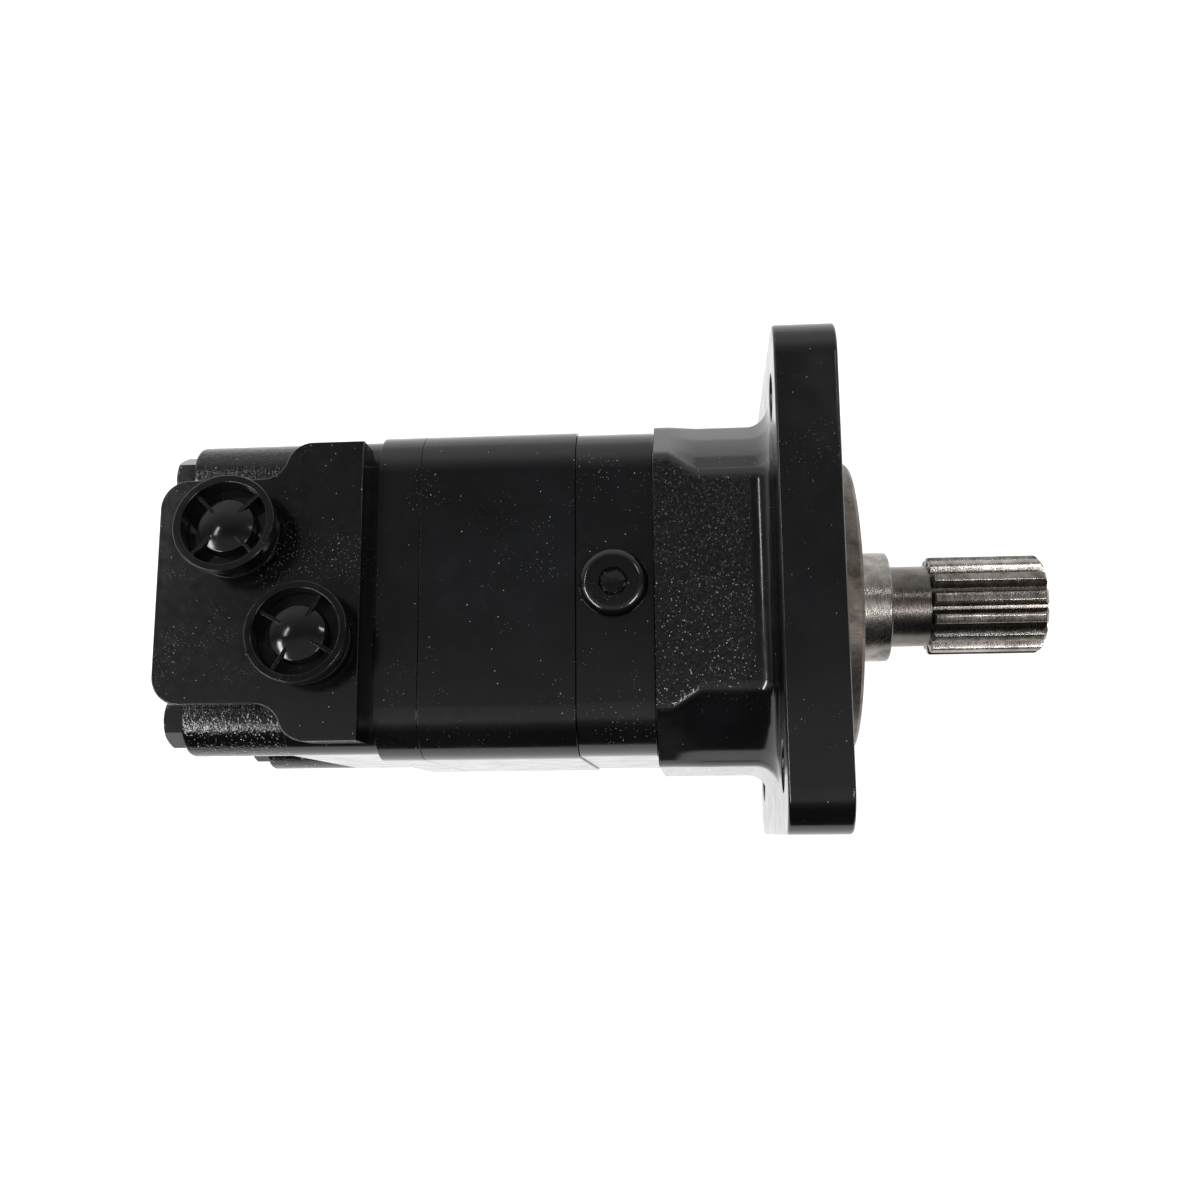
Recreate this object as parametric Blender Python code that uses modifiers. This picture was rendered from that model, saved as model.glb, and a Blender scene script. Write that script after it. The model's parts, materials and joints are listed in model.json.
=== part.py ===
"""Disc-valve orbital hydraulic motor, modelled as the pieces it is assembled from.

The shaft axis is +X with the splined output at the +X end, the port face looks along +Z,
and the origin is where the shaft axis meets the face of the mounting flange.
Lengths are in metres and angles in radians unless a name says otherwise.
"""

import math

import bmesh
import bpy
import numpy as np
from mathutils import Matrix, Vector

# Gaps between neighbouring pieces
GAP = 0.0003
HALF_GAP = GAP / 2

# Mounting flange and pilot
FLANGE_SIDE = 0.1464
FLANGE_THICK = 0.018
FLANGE_CORNER = 0.0125
FLANGE_BOLT = 0.054
FLANGE_HOLE_R = 0.00715
FLANGE_FILLET = 0.0065
PILOT_R = 0.047
PILOT_HIGH = 0.008
PILOT_CHAMFER = 0.0008

# Planes between the stacked sections, along the shaft axis
JOINT_FRONT = -0.0535
JOINT_SPACER = -0.0767
JOINT_RING = -0.1235
JOINT_CHANNEL = -0.1366
VALVE_REAR = -0.1992

# Square sections of the stack
FRONT_HALF = 0.053
FRONT_FLAT = 0.038
RELIEF_FLAT = 0.0325
FRONT_SIDE_FLAT = 0.0345
FRONT_SIDE_EASE = 0.0060
RELIEF_SIDE_EASE = 0.0028
RELIEF_SWELL = 0.0012
RELIEF_START = -0.0491
RELIEF_END = -0.0400
SPACER_HALF = 0.0498
STACK_HALF = 0.0504
STACK_CORNER = 0.015

# Tie bolts, one in each corner of the stack
TIE_BOLT = 0.0376
TIE_SHANK_R = 0.00476
TIE_HOLE_R = 0.0052
TIE_HEAD_AF = 0.0143
TIE_HEAD_HIGH = 0.0066
TIE_HEAD_CHAMFER = 0.0007
TIE_TIP = -0.0280
TIE_HOLE_END = -0.0255
TIE_BOSS_R = 0.0108
TIE_SEAT = -0.1953

# Output shaft: 14-tooth spline of 1.25 inch outside diameter
SPLINE_TEETH = 14
SPLINE_TIP_R = 0.015875
SPLINE_ROOT_R = 0.0132
SPLINE_START = 0.0335
SPLINE_END = 0.0692
SPLINE_CHAMFER = 0.0012
SHAFT_R = 0.0178
SHAFT_SHOULDER_END = 0.0206
COLLAR_R = 0.0240
COLLAR_FRONT = -0.0240
COLLAR_REAR = -0.0300
REAR_SEAT_R = 0.0198
NUT_THREAD_R = 0.0193
SHAFT_REAR = -0.0520
SHAFT_BORE_R = 0.0120
SHAFT_BORE_END = -0.0180
SHAFT_SPLINE_END = -0.0330

# Seals and bearings in the front housing
DUST_RECESS_R = 0.0253
DUST_RECESS = 0.0030
SEAL_LAND_R = 0.0215
SEAL_BORE_R = 0.0283
SEAL_BORE_FRONT = 0.0010
LIP_GAP = 0.00025
FRONT_CUP_R = 0.0360
FRONT_BORE_R = FRONT_CUP_R + GAP
FRONT_CUP_STOP = -0.0080
REAR_CUP_R = 0.0380
REAR_BORE_R = REAR_CUP_R + GAP
REAR_CUP_STOP = -0.0300
BEARING_WIDE = 0.0154
BEARING_ROLLERS = 14
NUT_R = 0.0270
NUT_REAR = -0.0525

# Geroler: seven rollers in the ring, six lobes on the rotor
ROLLERS = 7
ROLLER_CIRCLE = 0.034
ROLLER_R = 0.007
ECCENTRIC = 0.003
POCKET_GAP = 0.0002
ROTOR_GAP = 0.00025

# Splines of the two cardan drives, all cut the same
DRIVE_TEETH = 12
DRIVE_TIP_R = 0.0118
DRIVE_ROOT_R = 0.0093
SOCKET_TIP_R = 0.0104
SOCKET_ROOT_R = 0.0130
DRIVE_SPLINE_HALF = 0.0060
DRIVE_WAIST_R = 0.0075
MAIN_DRIVE_FRONT = -0.0425
MAIN_DRIVE_REAR = -0.0920
VALVE_DRIVE_FRONT = -0.1140
VALVE_DRIVE_REAR = -0.1470
DISC_FRONT = -0.1010
DISC_REAR = -0.1050
DISC_R = 0.0095

# Valve section
CHANNEL_BORE_R = 0.0150
CHANNEL_SLOT_INNER = 0.0200
CHANNEL_SLOT_OUTER = 0.0320
CHANNEL_SLOT_WIDE = 0.0050
VALVE_DISC_R = 0.0300
VALVE_DISC_REAR = -0.1515
VALVE_BORE_R = 0.0308
VALVE_BORE_REAR = -0.1612
BALANCE_FRONT = -0.1520
BALANCE_REAR = -0.1605
BALANCE_BORE_R = 0.0140
SPRING_CIRCLE = 0.0220
SPRING_R = 0.0032
SPRING_WIRE_R = 0.00055
SPRING_POCKET_R = 0.0044
SPRING_POCKET_REAR = -0.1695
SPRING_TURNS = 3
SPRING_PLACES = (90, 210, 330)
PIN_R = 0.0020
PIN_FRONT = -0.1570
PIN_REAR = -0.1670
PIN_PLACES = (150, 270)

# Port face with its two staggered ports
PAD_TOP = 0.0575
PAD_REAR = -0.2010
PAD_FRONT = -0.1393
PAD_MIDDLE = -0.0010
PAD_NARROW = 0.0338
PAD_WIDE = 0.0447
PAD_STEP = -0.1625
PAD_CORNER = 0.0085
PAD_STEP_R = 0.0080
PORTS = ((-0.1765, 0.0148), (-0.1545, -0.0165))
PORT_R = 0.0106
PORT_DEEP = 0.0180
PORT_DRILL_R = 0.0055

# Transport caps in the ports
CAP_RIM_R = 0.0149
CAP_SKIRT_R = 0.0134
CAP_HUB_R = 0.0085
CAP_WELL_R = 0.0126
CAP_HIGH = 0.0112
CAP_RIM_HIGH = 0.0030
CAP_WELL_DEEP = 0.0060
CAP_STEM_R = 0.0093
CAP_STEM_LONG = 0.0070
CAP_HOLLOW_R = 0.0076
CAP_HOLLOW_HIGH = 0.0040
CAP_RIB = 0.0012
CAP_LEANS = (math.radians(8), math.radians(5))
CAP_TURNS = (math.radians(45), math.radians(-30))

# Drain plug in the spacer plate
PLUG_X = -0.0654
PLUG_HEAD_R = 0.01035
PLUG_HEAD_HIGH = 0.0042
PLUG_STEM_R = 0.0062
PLUG_STEM_LONG = 0.0100
PLUG_HOLE_R = 0.0066
PLUG_HOLE_LONG = 0.0120
PLUG_SOCKET_AF = 0.0072
PLUG_SOCKET_DEEP = 0.0034
PLUG_SEAL_R = 0.0090
DRAIN_DRILL_R = 0.0035

# Seals between the stacked sections
SEAL_CIRCLE = 0.0447
SEAL_WIRE_R = 0.0009
SEAL_GROOVE_HALF = 0.0013
SEAL_GROOVE_DEEP = 0.0022

ROUND = 24
FINE_ROUND = 40

# An axial piece is built standing up: its own x, y and z become the motor's Y, Z and X.
AXIAL = Matrix(((0, 0, 1, 0), (1, 0, 0, 0), (0, 1, 0, 0), (0, 0, 0, 1)))


def clear_scene():
    for old in list(bpy.data.objects):
        bpy.data.objects.remove(old, do_unlink=True)


def collection(name):
    made = bpy.data.collections.new(name)
    bpy.context.scene.collection.children.link(made)
    return made


def material(name, colour, roughness, metallic):
    made = bpy.data.materials.new(name)
    made.use_nodes = True
    shader = made.node_tree.nodes["Principled BSDF"]
    shader.inputs["Base Color"].default_value = (*colour, 1)
    shader.inputs["Roughness"].default_value = roughness
    shader.inputs["Metallic"].default_value = metallic
    return made


clear_scene()
PARTS = collection("hydraulic_motor")
CUTTERS = collection("cutters")

PAINT = material("black_paint", (0.012, 0.012, 0.013), 0.25, 0.0)
STEEL = material("machined_steel", (0.33, 0.31, 0.29), 0.4, 1.0)
HARD_STEEL = material("bearing_steel", (0.55, 0.55, 0.56), 0.22, 1.0)
PLASTIC = material("black_plastic", (0.014, 0.014, 0.015), 0.3, 0.0)
RUBBER = material("seal_rubber", (0.02, 0.02, 0.02), 0.7, 0.0)
HELPER = material("helper", (0.8, 0.2, 0.2), 0.5, 0.0)


# Building blocks


def add_object(name, mesh, look, matrix):
    """Adds a mesh object to the motor, or to the cutters when it has no look."""
    obj = bpy.data.objects.new(name, mesh)
    (PARTS if look else CUTTERS).objects.link(obj)
    mesh.materials.append(look or HELPER)
    obj.matrix_world = matrix
    if not look:
        obj.hide_render = True
        obj.display_type = "WIRE"
    return obj


def smooth(obj, degrees=35):
    obj.data.shade_smooth()
    obj.data.set_sharp_from_angle(angle=math.radians(degrees))
    return obj


def axial(x=0.0, y=0.0, z=0.0):
    return Matrix.Translation((x, y, z)) @ AXIAL


def turned(name, profile, look=None, matrix=AXIAL, steps=ROUND, ring=False):
    """A profile of (radius, height) points turned about the piece's own z axis.

    The points run down the outer side. A ring's profile closes on itself, and any other
    profile starts and ends on the axis.
    """
    mesh = bpy.data.meshes.new(name)
    count = len(profile)
    edges = [(i, i + 1) for i in range(count - 1)] + ([(count - 1, 0)] if ring else [])
    mesh.from_pydata([(radius, 0, height) for radius, height in profile], edges, [])
    obj = add_object(name, mesh, look, matrix)
    screw = obj.modifiers.new("Turn", "SCREW")
    screw.axis = "Z"
    screw.steps = screw.render_steps = steps
    screw.use_merge_vertices = True
    screw.merge_threshold = 0.000001
    screw.use_smooth_shade = False
    return obj


def cylinder(name, radius, low, high, look=None, matrix=AXIAL, steps=20):
    profile = [(0, high), (radius, high), (radius, low), (0, low)]
    return turned(name, profile, look, matrix, steps)


def flat_solid(name, outlines, low, high, look=None, matrix=AXIAL):
    """A flat outline with its holes, extruded from low to high along its own z axis."""
    curve = bpy.data.curves.new(name, "CURVE")
    curve.dimensions = "2D"
    curve.fill_mode = "BOTH"
    curve.extrude = (high - low) / 2
    for outline in outlines:
        spline = curve.splines.new("POLY")
        spline.points.add(len(outline) - 1)
        for point, (u, v) in zip(spline.points, outline):
            point.co = (u, v, 0, 1)
        spline.use_cyclic_u = True
    sheet = bpy.data.objects.new(name + "_outline", curve)
    CUTTERS.objects.link(sheet)
    graph = bpy.context.evaluated_depsgraph_get()
    mesh = bpy.data.meshes.new_from_object(sheet.evaluated_get(graph))
    bpy.data.objects.remove(sheet)
    bpy.data.curves.remove(curve)
    mesh.name = name
    work = bmesh.new()
    work.from_mesh(mesh)
    bmesh.ops.remove_doubles(work, verts=work.verts, dist=0.000001)
    bmesh.ops.recalc_face_normals(work, faces=work.faces)
    work.to_mesh(mesh)
    work.free()
    mesh.materials.clear()
    return add_object(name, mesh, look, matrix @ Matrix.Translation((0, 0, (low + high) / 2)))


def loft(name, stations, look=None, matrix=AXIAL, ring=False):
    """A skin over sections of (u, v) points, each at a height along the piece's own z axis.

    A ring's last section joins its first, and any other loft has flat ends.
    """
    work = bmesh.new()
    rows = [[work.verts.new((u, v, height)) for u, v in points] for height, points in stations]
    pairs = list(zip(rows, rows[1:])) + ([(rows[-1], rows[0])] if ring else [])
    for lower, upper in pairs:
        for i in range(len(lower)):
            j = (i + 1) % len(lower)
            work.faces.new((lower[i], lower[j], upper[j], upper[i]))
    if not ring:
        work.faces.new(rows[0])
        work.faces.new(rows[-1])
    bmesh.ops.recalc_face_normals(work, faces=work.faces)
    mesh = bpy.data.meshes.new(name)
    work.to_mesh(mesh)
    work.free()
    return add_object(name, mesh, look, matrix)


def polar_loft(name, angles, stations, look=None, matrix=AXIAL, ring=False):
    """A loft whose sections are radii at the same angles, or one radius for a round section."""
    sections = []
    for height, radii in stations:
        radii = radii if isinstance(radii, list) else [radii] * len(angles)
        points = [(r * math.cos(angle), r * math.sin(angle)) for angle, r in zip(angles, radii)]
        sections.append((height, points))
    return loft(name, sections, look, matrix, ring)


def boolean(target, other, operation):
    modifier = target.modifiers.new(other.name, "BOOLEAN")
    modifier.operation = operation
    modifier.object = other
    return target


def cut(target, *cutters):
    for cutter in cutters:
        boolean(target, cutter, "DIFFERENCE")
    return target


def join(target, *others):
    for other in others:
        boolean(target, other, "UNION")
    return target


# Outlines and sections


def circle(radius, count, u=0.0, v=0.0):
    turn = 2 * math.pi / count
    return [(u + radius * math.cos(i * turn), v + radius * math.sin(i * turn)) for i in range(count)]


def arc(radius, start, end, count, u=0.0, v=0.0):
    """Points on an arc from the start angle to the end angle, both in degrees."""
    angles = [math.radians(start + (end - start) * i / count) for i in range(count + 1)]
    return [(u + radius * math.cos(a), v + radius * math.sin(a)) for a in angles]


def rounded_rectangle(half_u, half_v, radius, count=5):
    u, v = half_u - radius, half_v - radius
    points = []
    for quarter, (cu, cv) in enumerate(((u, v), (-u, v), (-u, -v), (u, -v))):
        points += arc(radius, 90 * quarter, 90 * quarter + 90, count, cu, cv)
    return points


def corner_points(offset):
    return [(u * offset, v * offset) for u in (1, -1) for v in (1, -1)]


def tie_holes():
    return [circle(TIE_HOLE_R, 12, u, v) for u, v in corner_points(TIE_BOLT)]


def even_angles(count):
    return [2 * math.pi * i / count for i in range(count)]


def cut_square(half, flat, side_flat, side_ease, swell=0.0, ease=0.0030):
    """A square with its corners cut off, each cut swelling out by swell at its middle.

    The faces across v are left flat to each side, and the faces across u side_flat. The cuts
    are eased by side_ease where they meet the faces across u, and by ease elsewhere.
    """
    quarter = [(half, side_flat), (flat, half)]
    quarter += [(-u, v) for u, v in reversed(quarter)]
    corners = [Vector(corner) for corner in quarter + [(-u, -v) for u, v in quarter]]
    points = []
    for i, corner in enumerate(corners):
        reach = side_ease if abs(corner.x) == half else ease
        before = corner + (corners[i - 1] - corner).normalized() * reach
        after = corner + (corners[(i + 1) % 8] - corner).normalized() * reach
        points += [before, (before + after + 2 * corner) / 4, after]
        if i % 2 == 0:
            middle = (corner + corners[i + 1]) / 2
            points.append(middle + middle.normalized() * swell)
    return [(point.x, point.y) for point in points]


def hexagon_section(angles, across_flats):
    side = math.pi / 3
    return [across_flats / 2 / math.cos(angle % side - side / 2) for angle in angles]


def tooth_angles(teeth, tip_share, root_share, first=0.0):
    """Four angles for each tooth: the ends of its tip and the ends of the gap after it."""
    pitch = 2 * math.pi / teeth
    half_tip, half_root = tip_share * pitch / 2, root_share * pitch / 2
    offsets = (-half_tip, half_tip, pitch / 2 - half_root, pitch / 2 + half_root)
    return [first + tooth * pitch + offset for tooth in range(teeth) for offset in offsets]


def tooth_section(teeth, tip_radius, root_radius):
    return [tip_radius, tip_radius, root_radius, root_radius] * teeth


def socket_section():
    """Angles and radii of the hollow that takes a drive's spline."""
    return tooth_angles(DRIVE_TEETH, 0.375, 0.375), tooth_section(DRIVE_TEETH, SOCKET_ROOT_R, SOCKET_TIP_R)


def rotor_section(angles):
    """The lobed outline that stays in touch with every roller as the rotor orbits."""
    turn = np.linspace(0, 2 * math.pi, 2160, endpoint=False)
    path = ROLLER_CIRCLE * np.exp(1j * turn) - ECCENTRIC * np.exp(1j * ROLLERS * turn)
    along = 1j * (ROLLER_CIRCLE * np.exp(1j * turn) - ROLLERS * ECCENTRIC * np.exp(1j * ROLLERS * turn))
    flank = path + (ROLLER_R + ROTOR_GAP) * 1j * along / np.abs(along)
    radii = np.interp(angles, np.angle(flank), np.abs(flank), period=2 * math.pi)
    return [float(radius) for radius in radii]


# Front housing and what it holds


def front_housing():
    flange = flat_solid(
        "front_housing",
        [rounded_rectangle(FLANGE_SIDE / 2, FLANGE_SIDE / 2, FLANGE_CORNER)]
        + [circle(FLANGE_HOLE_R, 20, u, v) for u, v in corner_points(FLANGE_BOLT)],
        -FLANGE_THICK,
        0,
        PAINT,
    )
    full = cut_square(FRONT_HALF, FRONT_FLAT, FRONT_SIDE_FLAT, FRONT_SIDE_EASE)
    stations = [
        (JOINT_FRONT + HALF_GAP, full),
        (RELIEF_START, full),
        (RELIEF_END, cut_square(FRONT_HALF, RELIEF_FLAT, RELIEF_FLAT, RELIEF_SIDE_EASE, RELIEF_SWELL)),
    ]
    widen = math.tan(math.pi / 8)
    for step in range(5):
        bend = math.pi / 2 * step / 4
        height = -FLANGE_THICK - FLANGE_FILLET * (1 - math.sin(bend))
        spread = FLANGE_FILLET * (1 - math.cos(bend))
        flat = RELIEF_FLAT + spread * widen
        section = cut_square(FRONT_HALF + spread, flat, flat, RELIEF_SIDE_EASE, RELIEF_SWELL)
        stations.append((height, section))
    stations.append((-FLANGE_THICK / 2, stations[-1][1]))
    body = loft("front_body", stations)
    pilot = turned(
        "front_pilot",
        [
            (0, PILOT_HIGH),
            (PILOT_R - PILOT_CHAMFER, PILOT_HIGH),
            (PILOT_R, PILOT_HIGH - PILOT_CHAMFER),
            (PILOT_R, -FLANGE_THICK / 3),
            (0, -FLANGE_THICK / 3),
        ],
        steps=FINE_ROUND,
    )
    past = 0.001
    bore = turned(
        "front_bore",
        [
            (0, PILOT_HIGH + past),
            (DUST_RECESS_R, PILOT_HIGH + past),
            (DUST_RECESS_R, DUST_RECESS),
            (SEAL_LAND_R, DUST_RECESS),
            (SEAL_LAND_R, SEAL_BORE_FRONT),
            (SEAL_BORE_R, SEAL_BORE_FRONT),
            (SEAL_BORE_R, FRONT_CUP_STOP),
            (FRONT_BORE_R, FRONT_CUP_STOP),
            (FRONT_BORE_R, REAR_CUP_STOP),
            (REAR_BORE_R, REAR_CUP_STOP),
            (REAR_BORE_R, JOINT_FRONT - past),
            (0, JOINT_FRONT - past),
        ],
    )
    threads = [
        cylinder(f"front_thread_{n}", TIE_HOLE_R, JOINT_FRONT - past, TIE_HOLE_END, None, axial(0, y, z), 12)
        for n, (y, z) in enumerate(corner_points(TIE_BOLT), 1)
    ]
    return smooth(cut(join(flange, body, pilot), bore, *threads))


def lip_seals():
    dust = [
        (0.0250, PILOT_HIGH - GAP),
        (0.0250, DUST_RECESS + GAP),
        (0.0225, DUST_RECESS + GAP),
        (0.0225, 0.0060),
        (SHAFT_R + LIP_GAP, 0.0064),
        (0.0184, PILOT_HIGH - GAP),
    ]
    turned("dust_seal", dust, RUBBER, ring=True)
    pressure = [
        (0.0280, SEAL_BORE_FRONT - GAP),
        (0.0280, FRONT_CUP_STOP + GAP),
        (0.0255, FRONT_CUP_STOP + GAP),
        (0.0255, -0.0015),
        (0.0205, -0.0020),
        (SHAFT_R + LIP_GAP, -0.0058),
        (0.0186, SEAL_BORE_FRONT - GAP),
    ]
    turned("shaft_seal", pressure, RUBBER, ring=True)


def taper_bearing(name, front, cup_r, bore_r, opens_rearward):
    """Cup, cone and caged rollers. The raceways open towards the end with the larger rollers."""
    rear = front - BEARING_WIDE
    wide, narrow = (rear, front) if opens_rearward else (front, rear)
    race = {wide: cup_r - 0.0035, narrow: cup_r - 0.0060}
    track = {wide: cup_r - 0.0100, narrow: cup_r - 0.0115}
    turned(
        f"{name}_bearing_cup",
        [(cup_r, front), (cup_r, rear), (race[rear], rear), (race[front], front)],
        HARD_STEEL,
        ring=True,
    )
    turned(
        f"{name}_bearing_cone",
        [(track[front], front), (track[rear], rear), (bore_r, rear), (bore_r, front)],
        HARD_STEEL,
        ring=True,
    )
    angles = tooth_angles(BEARING_ROLLERS, 0.55, 0.30)
    inset = 0.0010

    def section(radius, roller):
        return tooth_section(BEARING_ROLLERS, radius + roller, radius)

    stations = [
        (front - inset, section(race[front] - 0.0015, 0.0010)),
        (rear + inset, section(race[rear] - 0.0015, 0.0010)),
        (rear + inset, section(track[rear] + 0.0017, -0.0010)),
        (front - inset, section(track[front] + 0.0017, -0.0010)),
    ]
    polar_loft(f"{name}_roller_cage", angles, stations, HARD_STEEL, ring=True)


def bearings():
    taper_bearing("front", FRONT_CUP_STOP - GAP, FRONT_CUP_R, SHAFT_R + GAP, True)
    taper_bearing("rear", REAR_CUP_STOP - GAP, REAR_CUP_R, REAR_SEAT_R + GAP, False)
    front = REAR_CUP_STOP - BEARING_WIDE - 2 * GAP
    profile = [(NUT_R, front), (NUT_R, NUT_REAR), (NUT_THREAD_R + GAP, NUT_REAR), (NUT_THREAD_R + GAP, front)]
    turned("shaft_nut", profile, STEEL, ring=True)


def output_shaft():
    """Splined nose, seal journal and two bearing seats, with the drive's socket in its rear end."""
    outer = tooth_angles(SPLINE_TEETH, 0.38, 0.13, math.pi / 2)
    spline = tooth_section(SPLINE_TEETH, SPLINE_TIP_R, SPLINE_ROOT_R)
    chamfered = tooth_section(SPLINE_TEETH, SPLINE_TIP_R - SPLINE_CHAMFER, SPLINE_ROOT_R - 0.0006)
    neck = SPLINE_ROOT_R - 0.0001
    ease = 0.0008
    stations = [
        (SPLINE_END, chamfered),
        (SPLINE_END - SPLINE_CHAMFER, spline),
        (SPLINE_START + ease, spline),
        (SPLINE_START, neck),
        (SHAFT_SHOULDER_END, neck),
        (SHAFT_SHOULDER_END, SHAFT_R - ease),
        (SHAFT_SHOULDER_END - ease, SHAFT_R),
        (COLLAR_FRONT, SHAFT_R),
        (COLLAR_FRONT, COLLAR_R),
        (COLLAR_REAR, COLLAR_R),
        (COLLAR_REAR, REAR_SEAT_R),
        (REAR_CUP_STOP - BEARING_WIDE - GAP, REAR_SEAT_R),
        (REAR_CUP_STOP - BEARING_WIDE - GAP, NUT_THREAD_R),
        (SHAFT_REAR, NUT_THREAD_R),
    ]
    shaft = polar_loft("output_shaft", outer, stations, STEEL)
    socket_angles, socket = socket_section()
    past = 0.001
    bore = [
        (SHAFT_REAR - past, socket),
        (SHAFT_SPLINE_END, socket),
        (SHAFT_SPLINE_END, SHAFT_BORE_R),
        (SHAFT_BORE_END, SHAFT_BORE_R),
    ]
    return smooth(cut(shaft, polar_loft("shaft_socket", socket_angles, bore)), 25)


# Stacked sections


def seal_groove(name, face, inward):
    """A cutter for the seal groove in a section's face. The groove goes inward from that face."""
    past = 0.0005
    low, high = sorted((face - inward * past, face + inward * SEAL_GROOVE_DEEP))
    inner, outer = SEAL_CIRCLE - SEAL_GROOVE_HALF, SEAL_CIRCLE + SEAL_GROOVE_HALF
    profile = [(outer, high), (outer, low), (inner, low), (inner, high)]
    return turned(name, profile, ring=True)


def section_seals():
    """One round-section seal in the groove of each joint."""
    seats = (
        ("front_seal", JOINT_FRONT - HALF_GAP, -1),
        ("spacer_seal", JOINT_SPACER + HALF_GAP, 1),
        ("ring_seal", JOINT_RING - HALF_GAP, -1),
        ("channel_seal", JOINT_CHANNEL - HALF_GAP, -1),
    )
    for name, face, inward in seats:
        middle = face + inward * (SEAL_WIRE_R + HALF_GAP)
        profile = [(u, v) for u, v in reversed(circle(SEAL_WIRE_R, 4, SEAL_CIRCLE, middle))]
        turned(name, profile, RUBBER, ring=True)


def spacer_plate():
    plate = flat_solid(
        "spacer_plate",
        [rounded_rectangle(SPACER_HALF, SPACER_HALF, STACK_CORNER), circle(0.0200, ROUND)] + tie_holes(),
        JOINT_SPACER + HALF_GAP,
        JOINT_FRONT - HALF_GAP,
        PAINT,
    )
    drain = turned(
        "drain_hole",
        [
            (0, SPACER_HALF + 0.001),
            (PLUG_SEAL_R + GAP, SPACER_HALF + 0.001),
            (PLUG_SEAL_R + GAP, SPACER_HALF - 0.0014),
            (PLUG_HOLE_R, SPACER_HALF - 0.0014),
            (PLUG_HOLE_R, SPACER_HALF - PLUG_HOLE_LONG),
            (DRAIN_DRILL_R, SPACER_HALF - PLUG_HOLE_LONG),
            (DRAIN_DRILL_R, 0.010),
            (0, 0.010),
        ],
        None,
        Matrix.Translation((PLUG_X, 0, 0)),
        24,
    )
    grooves = (
        seal_groove("front_groove", JOINT_FRONT - HALF_GAP, -1),
        seal_groove("spacer_groove", JOINT_SPACER + HALF_GAP, 1),
    )
    return smooth(cut(plate, drain, *grooves))


def drain_plug():
    base = SPACER_HALF + GAP
    top = base + PLUG_HEAD_HIGH
    ease = 0.0016
    edge = [(r, z) for r, z in reversed(arc(ease, 0, 90, 4, PLUG_HEAD_R - ease, top - ease))]
    plug = turned(
        "drain_plug",
        [(0, top)]
        + edge
        + [
            (PLUG_HEAD_R, base),
            (PLUG_STEM_R, base),
            (PLUG_STEM_R, base - PLUG_STEM_LONG),
            (0, base - PLUG_STEM_LONG),
        ],
        PAINT,
        Matrix.Translation((PLUG_X, 0, 0)),
    )
    angles = even_angles(24)
    hexagon = hexagon_section(angles, PLUG_SOCKET_AF)
    floor = base + PLUG_HEAD_HIGH - PLUG_SOCKET_DEEP
    socket = polar_loft(
        "plug_socket",
        angles,
        [(floor, hexagon), (top - 0.0008, hexagon), (top + 0.0002, PLUG_SOCKET_AF / 2 + 0.0014)],
        None,
        Matrix.Translation((PLUG_X, 0, 0)),
    )
    smooth(cut(plug, socket))
    seal = [
        (PLUG_SEAL_R, SPACER_HALF),
        (PLUG_SEAL_R, SPACER_HALF - 0.0011),
        (PLUG_SEAL_R - 0.0018, SPACER_HALF - 0.0011),
        (PLUG_SEAL_R - 0.0018, SPACER_HALF),
    ]
    turned("drain_plug_seal", seal, RUBBER, Matrix.Translation((PLUG_X, 0, 0)), 24, True)


def geroler():
    """The ring with its rollers, and the rotor that rolls round inside them."""
    pocket_r = ROLLER_R + POCKET_GAP
    lean = math.degrees(math.asin(pocket_r / ROLLER_CIRCLE))
    bore_r = math.sqrt(ROLLER_CIRCLE**2 - pocket_r**2)
    pitch = 360 / ROLLERS
    outline = []
    for k in range(ROLLERS):
        turn = k * pitch
        u = ROLLER_CIRCLE * math.cos(math.radians(turn))
        v = ROLLER_CIRCLE * math.sin(math.radians(turn))
        outline += arc(pocket_r, turn - 90 - lean, turn + 90 + lean, 10, u, v)
        outline += arc(bore_r, turn + lean, turn + pitch - lean, 4)[1:-1]
    low, high = JOINT_RING + HALF_GAP, JOINT_SPACER - HALF_GAP
    outlines = [rounded_rectangle(STACK_HALF, STACK_HALF, STACK_CORNER), outline] + tie_holes()
    smooth(flat_solid("geroler_ring", outlines, low, high, PAINT))
    for k in range(ROLLERS):
        turn = math.radians(k * pitch)
        centre = axial(0, ROLLER_CIRCLE * math.cos(turn), ROLLER_CIRCLE * math.sin(turn))
        smooth(cylinder(f"roller_{k + 1}", ROLLER_R, low + HALF_GAP, high - HALF_GAP, HARD_STEEL, centre, 20))
    # Each socket tooth takes eight of the rotor's angles: four on its tip and four on its root.
    angles = [angle - math.pi / DRIVE_TEETH * 0.375 for angle in even_angles(8 * DRIVE_TEETH)]
    lobes = rotor_section(angles)
    socket = ([SOCKET_ROOT_R] * 4 + [SOCKET_TIP_R] * 4) * DRIVE_TEETH
    low, high = low + HALF_GAP, high - HALF_GAP
    stations = [(low, lobes), (high, lobes), (high, socket), (low, socket)]
    smooth(polar_loft("rotor", angles, stations, HARD_STEEL, axial(0, ECCENTRIC, 0), ring=True), 25)
    cylinder("drive_spacer", DISC_R, DISC_REAR, DISC_FRONT, STEEL, axial(0, ECCENTRIC, 0), 24)


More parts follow.
